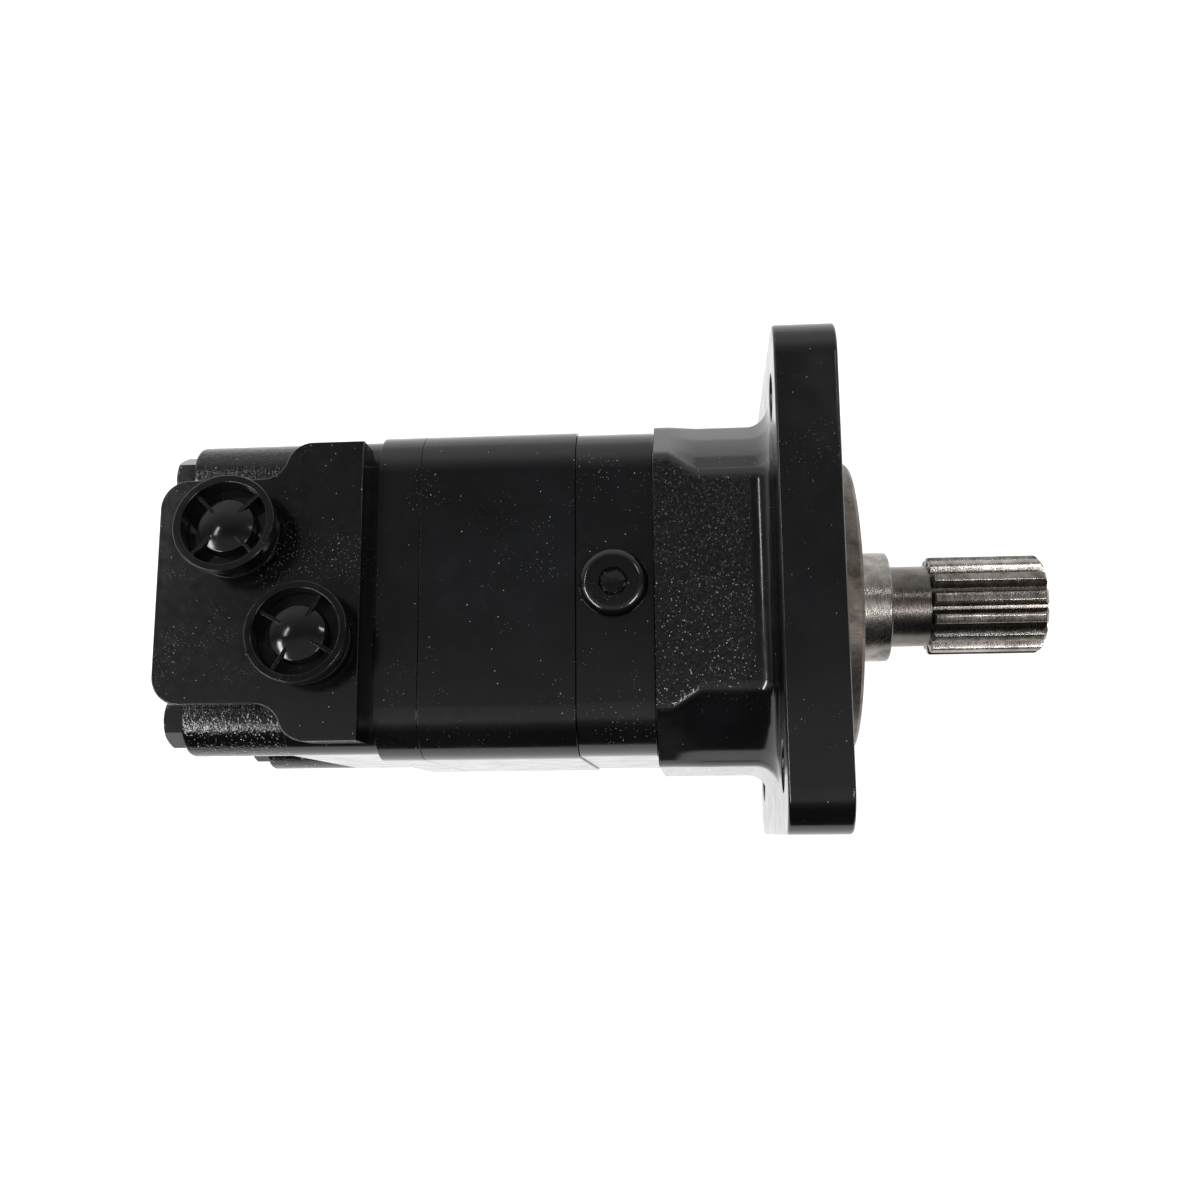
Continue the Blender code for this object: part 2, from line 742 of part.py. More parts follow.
def cardan_drive(name, rear, front):
    """A double-ended spline between two points, one on the motor's axis and one on the rotor's."""
    span = front - rear
    angles = tooth_angles(DRIVE_TEETH, 0.26, 0.40)
    crown = 0.0008
    blend = 0.0020
    full = tooth_section(DRIVE_TEETH, DRIVE_TIP_R, DRIVE_ROOT_R)
    crowned = tooth_section(DRIVE_TEETH, DRIVE_TIP_R - crown, DRIVE_ROOT_R - crown)
    stations = []
    for middle in (0, span.length):
        for offset, radii in ((-DRIVE_SPLINE_HALF, crowned), (0, full), (DRIVE_SPLINE_HALF, crowned)):
            stations.append((middle + offset, radii))
    waist = [
        (DRIVE_SPLINE_HALF + blend, DRIVE_WAIST_R),
        (span.length - DRIVE_SPLINE_HALF - blend, DRIVE_WAIST_R),
    ]
    lean = Vector((1, 0, 0)).rotation_difference(span).to_matrix().to_4x4()
    matrix = Matrix.Translation(rear) @ lean @ AXIAL
    return smooth(polar_loft(name, angles, stations[:3] + waist + stations[3:], STEEL, matrix), 25)


def drives():
    cardan_drive("main_drive", Vector((MAIN_DRIVE_REAR, ECCENTRIC, 0)), Vector((MAIN_DRIVE_FRONT, 0, 0)))
    cardan_drive("valve_drive", Vector((VALVE_DRIVE_REAR, 0, 0)), Vector((VALVE_DRIVE_FRONT, ECCENTRIC, 0)))


# Valve section


def radial_slot(inner, outer, wide, turn):
    """A round-ended slot lying along a radius, at a turn in degrees."""
    half = wide / 2
    points = arc(half, -90, 90, 4, outer - half, 0) + arc(half, 90, 270, 4, inner + half, 0)
    cos, sin = math.cos(math.radians(turn)), math.sin(math.radians(turn))
    return [(u * cos - v * sin, u * sin + v * cos) for u, v in points]


def channel_plate():
    """Carries the flow between the valve and the seven chambers between the rollers."""
    pitch = 360 / ROLLERS
    slots = [
        radial_slot(CHANNEL_SLOT_INNER, CHANNEL_SLOT_OUTER, CHANNEL_SLOT_WIDE, (k + 0.5) * pitch)
        for k in range(ROLLERS)
    ]
    outline = rounded_rectangle(STACK_HALF, STACK_HALF, STACK_CORNER)
    plate = flat_solid(
        "channel_plate",
        [outline, circle(CHANNEL_BORE_R, 24)] + slots + tie_holes(),
        JOINT_CHANNEL + HALF_GAP,
        JOINT_RING - HALF_GAP,
        PAINT,
    )
    return smooth(cut(plate, seal_groove("ring_groove", JOINT_RING - HALF_GAP, -1)))


def disc_valve():
    """A rotating disc with six windows and six rim notches, driven by its splined centre."""
    count = ROLLERS - 1
    pitch = 360 / count
    notch = 6
    rim = []
    for k in range(count):
        rim += arc(VALVE_DISC_R, k * pitch + notch, (k + 1) * pitch - notch, 6)
        rim += arc(0.0255, (k + 1) * pitch - notch, (k + 1) * pitch + notch, 1)
    windows = [radial_slot(0.0165, 0.0245, 0.0050, (k + 0.5) * pitch) for k in range(count)]
    angles, radii = socket_section()
    socket = [(r * math.cos(a), r * math.sin(a)) for a, r in zip(angles, radii)]
    front = JOINT_CHANNEL - HALF_GAP - GAP
    smooth(flat_solid("disc_valve", [rim, socket] + windows, VALVE_DISC_REAR, front, HARD_STEEL))


def around(circle_r, degrees):
    return circle_r * math.cos(math.radians(degrees)), circle_r * math.sin(math.radians(degrees))


def balance_ring():
    step_r = VALVE_DISC_R - 0.0025
    step = (BALANCE_FRONT + BALANCE_REAR) / 2
    profile = [
        (VALVE_DISC_R, BALANCE_FRONT),
        (VALVE_DISC_R, step),
        (step_r, step),
        (step_r, BALANCE_REAR),
        (BALANCE_BORE_R, BALANCE_REAR),
        (BALANCE_BORE_R, BALANCE_FRONT),
    ]
    ring = turned("balance_ring", profile, HARD_STEEL, ring=True)
    for n, degrees in enumerate(PIN_PLACES, 1):
        y, z = around(SPRING_CIRCLE, degrees)
        hole = cylinder(f"pin_hole_{n}", PIN_R + GAP, BALANCE_REAR - 0.001, PIN_FRONT + GAP, None, axial(0, y, z), 12)
        cut(ring, hole)
        cylinder(f"balance_pin_{n}", PIN_R, PIN_REAR, PIN_FRONT, HARD_STEEL, axial(0, y, z), 12)
    for n, degrees in enumerate(SPRING_PLACES, 1):
        balance_spring(f"balance_spring_{n}", *around(SPRING_CIRCLE, degrees))
    return smooth(ring)


def balance_spring(name, y, z):
    """A small coil spring that presses the balance ring against the disc valve."""
    front = BALANCE_REAR - GAP - SPRING_WIRE_R
    rear = SPRING_POCKET_REAR + GAP + SPRING_WIRE_R
    per_turn = 8
    steps = SPRING_TURNS * per_turn
    curve = bpy.data.curves.new(name, "CURVE")
    curve.dimensions = "3D"
    curve.bevel_depth = SPRING_WIRE_R
    curve.bevel_resolution = 0
    curve.use_fill_caps = True
    spline = curve.splines.new("POLY")
    spline.points.add(steps)
    for i, point in enumerate(spline.points):
        turn = 2 * math.pi * i / per_turn
        height = rear + (front - rear) * i / steps
        point.co = (SPRING_R * math.cos(turn), SPRING_R * math.sin(turn), height, 1)
    curve.materials.append(HARD_STEEL)
    spring = bpy.data.objects.new(name, curve)
    PARTS.objects.link(spring)
    spring.matrix_world = axial(0, y, z)


def pad_outline():
    """The port face: wide at the stack, drawn in by an S at each side towards the rear."""
    sweep = math.acos(1 - (PAD_WIDE - PAD_NARROW) / (2 * PAD_STEP_R))
    bend = math.degrees(sweep)
    run = PAD_STEP_R * math.sin(sweep)
    side = [(PAD_FRONT, PAD_WIDE)]
    side += arc(PAD_STEP_R, 90, 90 + bend, 5, PAD_STEP + run, PAD_WIDE - PAD_STEP_R)
    side += arc(PAD_STEP_R, bend - 90, -90, 5, PAD_STEP - run, PAD_NARROW + PAD_STEP_R)[1:]
    side += arc(PAD_CORNER, 90, 180, 6, PAD_REAR + PAD_CORNER, PAD_NARROW - PAD_CORNER)
    return [(x, PAD_MIDDLE + y) for x, y in side] + [(x, PAD_MIDDLE - y) for x, y in reversed(side)]


def port_cutters():
    """The two threaded ports, their drillings, and the gallery of the rearward port."""
    past = 0.001
    cutters = []
    for n, (x, y) in enumerate(PORTS, 1):
        foot = 0.0120 if n == 1 else 0.0220
        floor = PAD_TOP - PORT_DEEP
        profile = [
            (0, PAD_TOP + past),
            (PORT_R, PAD_TOP + past),
            (PORT_R, floor),
            (PORT_DRILL_R, floor),
            (PORT_DRILL_R, foot),
            (0, foot),
        ]
        cutters.append(turned(f"port_{n}", profile, None, Matrix.Translation((x, y, 0)), 24))
    x, y = PORTS[0]
    gallery = cylinder("port_gallery", PORT_DRILL_R, x, VALVE_BORE_REAR + past, None, axial(0, y, 0.0165), 16)
    return cutters + [gallery]


def valve_housing():
    """Casting that holds the disc valve, with four bolt bosses and the raised port face."""
    front = JOINT_CHANNEL - HALF_GAP
    base_rear = -0.1640
    inside = -0.1500
    corner = TIE_BOSS_R + 0.0002
    outline = rounded_rectangle(TIE_BOLT + corner, TIE_BOLT + corner, corner)
    housing = flat_solid("valve_housing", [outline], base_rear, front, PAINT)
    core = flat_solid("valve_core", [rounded_rectangle(0.0290, 0.0470, 0.0030, 3)], VALVE_REAR, inside)
    pad = flat_solid("valve_pad", [pad_outline()], 0.0450, PAD_TOP, None, Matrix())
    bosses = [
        cylinder(f"valve_boss_{n}", TIE_BOSS_R, TIE_SEAT, inside - 0.001 * n, None, axial(0, y, z))
        for n, (y, z) in enumerate(corner_points(TIE_BOLT), 1)
    ]
    join(housing, core, pad, *bosses)
    past = 0.001
    bore = turned(
        "valve_bore",
        [
            (0, front + past),
            (VALVE_BORE_R, front + past),
            (VALVE_BORE_R, VALVE_BORE_REAR),
            (BALANCE_BORE_R, VALVE_BORE_REAR),
            (BALANCE_BORE_R, VALVE_BORE_REAR - 0.0045),
            (0, VALVE_BORE_REAR - 0.0045),
        ],
    )
    holes = [
        cylinder(f"valve_tie_hole_{n}", TIE_HOLE_R, TIE_SEAT - past, front + past, None, axial(0, y, z), 12)
        for n, (y, z) in enumerate(corner_points(TIE_BOLT), 1)
    ]
    pockets = []
    for n, degrees in enumerate(SPRING_PLACES, 1):
        where = axial(0, *around(SPRING_CIRCLE, degrees))
        pocket_front = VALVE_BORE_REAR + past
        pockets.append(
            cylinder(f"spring_pocket_{n}", SPRING_POCKET_R, SPRING_POCKET_REAR, pocket_front, None, where, 16)
        )
    for n, degrees in enumerate(PIN_PLACES, 1):
        where = axial(0, *around(SPRING_CIRCLE, degrees))
        pocket_front = VALVE_BORE_REAR + past
        pockets.append(
            cylinder(f"pin_pocket_{n}", PIN_R + GAP, PIN_REAR - GAP, pocket_front, None, where, 12)
        )
    groove = seal_groove("channel_groove", front, -1)
    return smooth(cut(housing, bore, groove, *holes, *pockets, *port_cutters()))


def tie_bolts():
    angles = even_angles(24)
    hexagon = hexagon_section(angles, TIE_HEAD_AF)
    seat = TIE_SEAT - GAP
    end = seat - TIE_HEAD_HIGH
    stations = [
        (end, TIE_HEAD_AF / 2 - TIE_HEAD_CHAMFER / 2),
        (end + TIE_HEAD_CHAMFER, hexagon),
        (seat, hexagon),
        (seat, TIE_SHANK_R),
        (TIE_TIP - TIE_HEAD_CHAMFER, TIE_SHANK_R),
        (TIE_TIP, TIE_SHANK_R - TIE_HEAD_CHAMFER),
    ]
    for n, (y, z) in enumerate(corner_points(TIE_BOLT), 1):
        smooth(polar_loft(f"tie_bolt_{n}", angles, stations, PAINT, axial(0, y, z)), 25)


def port_cap(name, x, y, lean, turn):
    """A plastic transport cap: skirt, open rim, domed hub held by four ribs, hollow stem."""
    ease = 0.0004
    well = CAP_HIGH - CAP_WELL_DEEP
    low = GAP
    dome_r = CAP_HUB_R
    dome = [(dome_r * math.sin(a), CAP_HIGH - 0.0040 + 0.0037 * math.cos(a)) for a in np.linspace(0, 1.45, 5)]
    lift = (CAP_SKIRT_R + ease) * abs(math.sin(lean))
    tilt = Matrix.Rotation(-lean, 4, "X") @ Matrix.Rotation(turn, 4, "Z")
    matrix = Matrix.Translation((x, y, PAD_TOP + lift)) @ tilt
    cap = turned(
        name,
        [(float(r), float(z)) for r, z in dome]
        + [
            (CAP_HUB_R, well),
            (CAP_WELL_R, well),
            (CAP_WELL_R, CAP_HIGH),
            (CAP_RIM_R - ease, CAP_HIGH),
            (CAP_RIM_R, CAP_HIGH - ease),
            (CAP_RIM_R, CAP_HIGH - CAP_RIM_HIGH),
            (CAP_SKIRT_R, CAP_HIGH - CAP_RIM_HIGH - ease),
            (CAP_SKIRT_R, low),
            (CAP_STEM_R, low),
            (CAP_STEM_R, -CAP_STEM_LONG),
            (CAP_HOLLOW_R, -CAP_STEM_LONG),
            (CAP_HOLLOW_R, CAP_HOLLOW_HIGH),
            (0, CAP_HOLLOW_HIGH),
        ],
        PLASTIC,
        matrix,
    )
    for n in range(2):
        half_u, half_v = ((CAP_WELL_R + ease, CAP_RIB / 2), (CAP_RIB / 2, CAP_WELL_R + ease))[n]
        outline = [(half_u, half_v), (-half_u, half_v), (-half_u, -half_v), (half_u, -half_v)]
        rib = flat_solid(f"{name}_rib_{n + 1}", [outline], well - 0.001, CAP_HIGH - 0.0025, None, matrix)
        join(cap, rib)
    return smooth(cap)


front_housing()
lip_seals()
bearings()
output_shaft()
spacer_plate()
drain_plug()
geroler()
drives()
channel_plate()
disc_valve()
balance_ring()
valve_housing()
section_seals()
tie_bolts()
for number in (1, 2):
    port_cap(f"port_cap_{number}", *PORTS[number - 1], CAP_LEANS[number - 1], CAP_TURNS[number - 1])
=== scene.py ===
"""Looks of the hydraulic motor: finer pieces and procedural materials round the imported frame.

The shaft axis is +X, the port face looks along +Z and lengths are in metres.
"""

import json
import math

import bmesh
import bpy
import numpy as np
from mathutils import Matrix, Vector

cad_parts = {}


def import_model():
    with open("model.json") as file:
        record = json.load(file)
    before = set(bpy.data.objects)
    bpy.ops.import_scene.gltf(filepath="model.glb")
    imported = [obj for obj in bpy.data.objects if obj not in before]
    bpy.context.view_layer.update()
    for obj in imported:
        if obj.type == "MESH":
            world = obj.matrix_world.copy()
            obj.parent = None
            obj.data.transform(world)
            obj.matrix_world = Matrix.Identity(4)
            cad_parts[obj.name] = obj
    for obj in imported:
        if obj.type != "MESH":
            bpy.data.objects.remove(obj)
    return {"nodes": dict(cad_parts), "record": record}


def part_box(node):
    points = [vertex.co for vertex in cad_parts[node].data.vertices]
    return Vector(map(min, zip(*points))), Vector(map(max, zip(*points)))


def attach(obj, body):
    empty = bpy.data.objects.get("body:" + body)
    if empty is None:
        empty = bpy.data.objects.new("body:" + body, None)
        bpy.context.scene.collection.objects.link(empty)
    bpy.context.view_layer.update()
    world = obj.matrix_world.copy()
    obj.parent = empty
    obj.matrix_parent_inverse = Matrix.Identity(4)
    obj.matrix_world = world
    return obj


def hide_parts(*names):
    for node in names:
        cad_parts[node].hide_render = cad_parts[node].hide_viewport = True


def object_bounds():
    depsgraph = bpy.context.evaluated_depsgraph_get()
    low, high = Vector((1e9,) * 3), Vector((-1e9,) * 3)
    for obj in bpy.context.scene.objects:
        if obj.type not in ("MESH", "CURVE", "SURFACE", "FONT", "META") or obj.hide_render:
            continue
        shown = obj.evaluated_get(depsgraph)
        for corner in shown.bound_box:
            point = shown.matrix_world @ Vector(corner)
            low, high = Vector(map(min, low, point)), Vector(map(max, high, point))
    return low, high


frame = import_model()
cad_bounds = [list(corner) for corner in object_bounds()]

# An axial piece is built standing up: its own x, y and z become the motor's Y, Z and X.
AXIAL = Matrix(((0, 0, 1, 0), (1, 0, 0, 0), (0, 1, 0, 0), (0, 0, 0, 1)))

# How far a cutter runs past the surface that it opens
PAST = 0.001

# Mounting flange, front casting and pilot
FLANGE_THICK = 0.018
FLANGE_CORNER = 0.0125
FLANGE_EDGE = 0.0009
FLANGE_BOLT = 0.054
FLANGE_HOLE_R = 0.00715
FLANGE_FILLET = 0.0065
FRONT_HALF = 0.053
FRONT_FLAT = 0.038
FRONT_SIDE_FLAT = 0.0345
FRONT_SIDE_EASE = 0.0060
FRONT_EDGE = 0.0002
CUT_EASE = 0.0030
RELIEF_FLAT = 0.0325
RELIEF_SIDE_EASE = 0.0028
RELIEF_SWELL = 0.0012
RELIEF_RUN = (0.0044, 0.0135)
SWELL_STEPS = (0.36, 0.43, 0.5, 0.57, 0.64, 0.71, 0.78)
PILOT_R = 0.047
PILOT_LIFT = 0.0001
DUST_RECESS_R = 0.0253
DUST_RECESS = 0.0030
SEAL_LAND_R = 0.0215
SEAL_BORE_R = 0.0283
SEAL_BORE_FRONT = 0.0010
FRONT_BORE_R = 0.0363
FRONT_CUP_STOP = -0.0080
REAR_BORE_R = 0.0383
REAR_CUP_STOP = -0.0300

# Stack and its tie bolts
STACK_CORNER = 0.015
STACK_EDGE = 0.00018
STACK_OVERLAP = 0.0001
SPACER_BORE_R = 0.0200
CHANNEL_BORE_R = 0.0150
CHANNEL_SLOT_ENDS = (0.0225, 0.0295)
CHANNEL_SLOT_R = 0.0025
TIE_BOLT = 0.0376
TIE_HOLE_R = 0.0052
TIE_HOLE_END = -0.0255
TIE_SEAT = -0.1953
TIE_SHANK_R = 0.00476
TIE_HEAD_HALF = 0.00715
TIE_HEAD_HIGH = 0.0066

# Geroler
ROLLERS = 7
ROLLER_CIRCLE = 0.034
POCKET_R = 0.0072

# Drain plug and its hole
PLUG_HEAD_HIGH = 0.0042
PLUG_HEAD_EASE = 0.0030
PLUG_STEM_R = 0.0062
PLUG_HOLE_R = 0.0066
PLUG_HOLE_LONG = 0.012
PLUG_SEAT_R = 0.0093
PLUG_SEAT_DEEP = 0.0014
PLUG_SOCKET_HALF = 0.0033
PLUG_SOCKET_DEEP = 0.0030
PLUG_SOCKET_MOUTH_R = 0.0035
PLUG_TURN = math.radians(12)
DRAIN_DRILL_R = 0.0035
DRAIN_DRILL_FLOOR = 0.010

# Valve housing
VALVE_SHELF = -0.1640
VALVE_EDGE = 0.00025
VALVE_CORE_HALF = (0.0290, 0.0470)
VALVE_CORE_CORNER = 0.0050
VALVE_CORE_FRONT = -0.1500
VALVE_CORE_INSET = 0.0018
VALVE_CORE_EDGE = 0.0008
VALVE_BORE_R = 0.0308
VALVE_BORE_REAR = -0.1612
BALANCE_BORE_R = 0.0140
BALANCE_BORE_REAR = -0.1657
PAD_BASE = 0.0440
PAD_EDGE = 0.0004
PAD_FRONT = -0.1393
PAD_MIDDLE = -0.0010
PAD_WIDE = 0.0447
PAD_NARROW = 0.0338
PAD_STEP = -0.1625
PAD_STEP_R = 0.0080
PAD_CORNER = 0.0085
SATIN_FLATS_FROM = 0.0495
SATIN_SIDES_FROM = 0.0502
PORT_R = 0.0106
PORT_DEEP = 0.018
PORT_EDGE = 0.0010
PORT_RINGS = 9
PORT_RING_TOP = 0.0022
PORT_RING_PITCH = 0.0018
PORT_RING_HIGH = 0.0012
PORT_RING_DEEP = 0.0005
PORT_DRILL_R = 0.0055
PORT_DRILL_FLOORS = (0.0120, 0.0220)

# Transport caps
CAP_LEANS = (math.radians(8), math.radians(5))
CAP_TURNS = (math.radians(45), math.radians(-30))
CAP_HIGH = 0.0112
CAP_RIM_R = 0.0149
CAP_RIM_HIGH = 0.0030
CAP_SKIRT_R = 0.0134
CAP_FOOT = 0.0003
CAP_BAND_HIGH = 0.0012
CAP_HOLLOW_R = 0.0077
CAP_HOLLOW_HIGH = 0.0040
CAP_WELL_R = 0.0126
CAP_WELL_FLOOR = 0.0052
CAP_HUB_R = 0.0083
CAP_DOME_R = 0.0210
CAP_STEM_R = 0.0093
CAP_STEM_BORE_R = 0.0076
CAP_STEM_LONG = 0.0070
CAP_STEM_TOP = 0.0016
CAP_THREAD = 0.0004
CAP_THREAD_PITCH = 0.0009
CAP_THREAD_TURNS = 6
CAP_RIB_HALF = 0.00055
CAP_RIB_EDGE = 0.00015
CAP_EASE = 0.0004
KNURLS = 160
KNURL_DEEP = 0.00014

# Output shaft
SPLINE_TEETH = 14
SPLINE_TIP_R = 0.015875
SPLINE_ROOT_R = 0.0132
SPLINE_START = 0.0335
SPLINE_TIP_SHARE = 0.38
SPLINE_ROOT_SHARE = 0.16
SPLINE_CHAMFER = (0.0014, 0.0012)
SHAFT_R = 0.0178
SHAFT_EASE = 0.0008
SHAFT_SHOULDER_END = 0.0206
COLLAR_R = 0.0240
COLLAR_FRONT = -0.0240
COLLAR_REAR = -0.0300
REAR_SEAT_R = 0.0198
REAR_SEAT_END = -0.0457
NUT_THREAD_R = 0.0193
SOCKET_TEETH = 12
SOCKET_TIP_R = 0.0104
SOCKET_ROOT_R = 0.0130
SOCKET_ROOT_SHARE = 0.375
SOCKET_FLANK_SHARE = 0.25
SHAFT_SPLINE_END = -0.0330
SHAFT_BORE_R = 0.0120
SHAFT_BORE_END = -0.0180

# Brightness of the studio by bearing round the shaft axis: 0 is overhead, positive towards +Y
SKY = (
    (-1.50, 0.03),
    (-0.95, 0.05),
    (-0.70, 0.18),
    (-0.52, 0.60),
    (0.06, 0.50),
    (0.16, 0.18),
    (0.32, 0.14),
    (0.64, 0.42),
    (0.98, 0.92),
    (1.50, 0.95),
)
SKY_TINT = (0.97, 0.98, 1)
BACKDROP = 1.05
FLOOR_HALF = 4.0
FLOOR_MIDDLE = 3.44
FLOOR_DROP = 0.0003
FLOOR_GLOW = 1.04
# Each softbox: its place, its extent along Y and across that, and its power in watts
SOFTBOXES = {
    "left_low_softbox": ((-0.82, -0.32, 0.92), (0.84, 0.12), 9),
    "left_high_softbox": ((-0.74, 0.32, 0.96), (0.24, 0.07), 0.9),
    "right_low_softbox": ((0.44, -0.32, 1.00), (0.34, 0.10), 4),
    "right_high_softbox": ((0.30, 0.46, 1.10), (0.16, 0.05), 0.6),
}
SOFTBOX_AIM = Vector((-0.07, 0, 0))
CAMERA_PLACE = (-0.04124, -0.07251, 0.41681)
CAMERA_RIGHT = Vector((0.99694, -0.00679, -0.07786))
CAMERA_UP = Vector((0.02073, 0.98350, 0.17974))
CAMERA_LENS = 38.17
CAMERA_SENSOR = 36


# Building blocks


def new_object(name, data, matrix=Matrix()):
    obj = bpy.data.objects.new(name, data)
    bpy.context.scene.collection.objects.link(obj)
    obj.matrix_world = matrix
    return obj


def mesh_of(work, name):
    """The mesh of a bmesh with its faces turned outwards. The bmesh is used up."""
    bmesh.ops.recalc_face_normals(work, faces=work.faces)
    mesh = bpy.data.meshes.new(name)
    work.to_mesh(mesh)
    work.free()
    return mesh


def lathe(name, profile, matrix=AXIAL, steps=96, ring=False):
    """Turns (radius, height) points about the piece's own z axis, down the outer side."""
    rows = []
    work = bmesh.new()
    for radius, height in profile:
        if radius < 1e-7:
            rows.append([work.verts.new((0, 0, height))])
            continue
        turns = even_angles(steps)
        points = [(radius * math.cos(a), radius * math.sin(a), height) for a in turns]
        rows.append([work.verts.new(point) for point in points])
    for upper, lower in list(zip(rows, rows[1:])) + ([(rows[-1], rows[0])] if ring else []):
        for i in range(steps):
            j = (i + 1) % steps
            corners = [upper[i % len(upper)], lower[i % len(lower)]]
            corners += [lower[j % len(lower)], upper[j % len(upper)]]
            corners = list(dict.fromkeys(corners))
            if len(corners) > 2:
                work.faces.new(corners)
    return new_object(name, mesh_of(work, name), matrix)


def loft(name, stations, matrix=AXIAL, ring=False):
    """A skin over sections of (u, v) points, each at a height along the piece's own z axis."""
    work = bmesh.new()
    rows = [[work.verts.new((u, v, height)) for u, v in points] for height, points in stations]
    for lower, upper in list(zip(rows, rows[1:])) + ([(rows[-1], rows[0])] if ring else []):
        for i in range(len(lower)):
            j = (i + 1) % len(lower)
            work.faces.new((lower[i], lower[j], upper[j], upper[i]))
    if not ring:
        work.faces.new(rows[0])
        work.faces.new(rows[-1])
    return new_object(name, mesh_of(work, name), matrix)


def polar_loft(name, angles, stations, matrix=AXIAL, ring=False):
    """A loft whose sections are radii at the same angles, or one radius for a round section."""
    sections = []
    for height, radii in stations:
        radii = radii if hasattr(radii, "__len__") else [radii] * len(angles)
        points = [(r * math.cos(a), r * math.sin(a)) for a, r in zip(angles, radii)]
        sections.append((height, points))
    return loft(name, sections, matrix, ring)


def plate(name, outlines, low, high, edge, matrix=AXIAL, steps=2):
    """Flat outlines with holes, extruded from low to high with rounded edges."""
    curve = bpy.data.curves.new(name, "CURVE")
    curve.dimensions = "2D"
    curve.fill_mode = "BOTH"
    curve.extrude = (high - low) / 2 - edge
    curve.bevel_depth = edge
    curve.bevel_resolution = steps
    curve.offset = -edge
    for outline in outlines:
        spline = curve.splines.new("POLY")
        spline.points.add(len(outline) - 1)
        for point, (u, v) in zip(spline.points, outline):
            point.co = (u, v, 0, 1)
        spline.use_cyclic_u = True
    sheet = new_object(name + "_outline", curve)
    graph = bpy.context.evaluated_depsgraph_get()
    mesh = bpy.data.meshes.new_from_object(sheet.evaluated_get(graph))
    bpy.data.objects.remove(sheet)
    work = bmesh.new()
    work.from_mesh(mesh)
    bmesh.ops.remove_doubles(work, verts=work.verts, dist=0.000001)
    bmesh.ops.translate(work, verts=work.verts, vec=(0, 0, (low + high) / 2))
    bmesh.ops.recalc_face_normals(work, faces=work.faces)
    work.to_mesh(mesh)
    work.free()
    mesh.name = name
    mesh.materials.clear()
    return new_object(name, mesh, matrix)


def combine(target, others, operation):
    """Joins or cuts with other objects, which are used up."""
    for other in others:
        modifier = target.modifiers.new("Combine", "BOOLEAN")
        modifier.operation = operation
        modifier.object = other
    graph = bpy.context.evaluated_depsgraph_get()
    mesh = bpy.data.meshes.new_from_object(target.evaluated_get(graph))
    target.modifiers.clear()
    target.data = mesh
    for other in others:
        bpy.data.objects.remove(other)


def cut(target, *cutters):
    combine(target, cutters, "DIFFERENCE")


def join(target, *others):
    combine(target, others, "UNION")


def finish_piece(obj, body, look, replaced=(), degrees=35):
    """Shading, material and the links to the frame. Edges above the angle in degrees are sharp."""
    obj.data.materials.clear()
    obj.data.materials.append(look)
    for face in obj.data.polygons:
        face.material_index = 0
    obj.data.shade_smooth()
    obj.data.set_sharp_from_angle(angle=math.radians(degrees))
    normals = obj.modifiers.new("Normals", "WEIGHTED_NORMAL")
    normals.keep_sharp = True
    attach(obj, body)
    if replaced:
        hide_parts(*replaced)


# Outlines


def circle(radius, count, u=0.0, v=0.0):
    turns = [i * (2 * math.pi / count) for i in range(count)]
    return [(u + radius * math.cos(a), v + radius * math.sin(a)) for a in turns]


def arc(radius, start, end, count, u=0.0, v=0.0):
    """Points on an arc from the start angle to the end angle, both in degrees."""
    angles = [math.radians(start + (end - start) * i / count) for i in range(count + 1)]
    return [(u + radius * math.cos(a), v + radius * math.sin(a)) for a in angles]


def rounded_rectangle(half_u, half_v, radius, count=16):
    u, v = half_u - radius, half_v - radius
    points = []
    for quarter, (cu, cv) in enumerate(((u, v), (-u, v), (-u, -v), (u, -v))):
        points += arc(radius, 90 * quarter, 90 * quarter + 90, count, cu, cv)
    return points


def corner_points(offset):
    return [(u * offset, v * offset) for u in (1, -1) for v in (1, -1)]


def hexagon_radii(angles, half):
    """Radii at these angles of a hexagon that is half wide from its middle to each flat."""
    side = math.pi / 3
    return [half / math.cos(a % side - side / 2) for a in angles]


def even_angles(count):
    return [2 * math.pi * i / count for i in range(count)]


def smooth(t):
    return t * t * (3 - 2 * t)


def cut_square(half, flat, side_flat, side_ease, swell=0.0):
    """A square with its corners cut off, each cut swelling out by swell at its middle.

    The faces across v are flat for the length flat to each side of their middle, and the faces
    across u for side_flat. The cuts are eased by side_ease where they meet the faces across u,
    and by CUT_EASE elsewhere.
    """
    quarter = [(half, side_flat), (flat, half)]
    quarter += [(-u, v) for u, v in reversed(quarter)]
    corners = [Vector(corner) for corner in quarter + [(-u, -v) for u, v in quarter]]
    points = []
    for i, corner in enumerate(corners):
        reach = side_ease if abs(corner.x) == half else CUT_EASE
        before = corner + (corners[i - 1] - corner).normalized() * reach
        after = corner + (corners[(i + 1) % 8] - corner).normalized() * reach
        for step in range(7):
            t = step / 6
            points.append(before * (1 - t) ** 2 + corner * 2 * t * (1 - t) + after * t * t)
        if i % 2 == 0:
            across = corners[i + 1] - corner
            out = (corner + across / 2).normalized() * swell * 4
            points += [corner + across * t + out * t * (1 - t) for t in SWELL_STEPS]
    return [(point.x, point.y) for point in points]


# Materials

PAINT_BLACK = (0.003, 0.003, 0.0035)


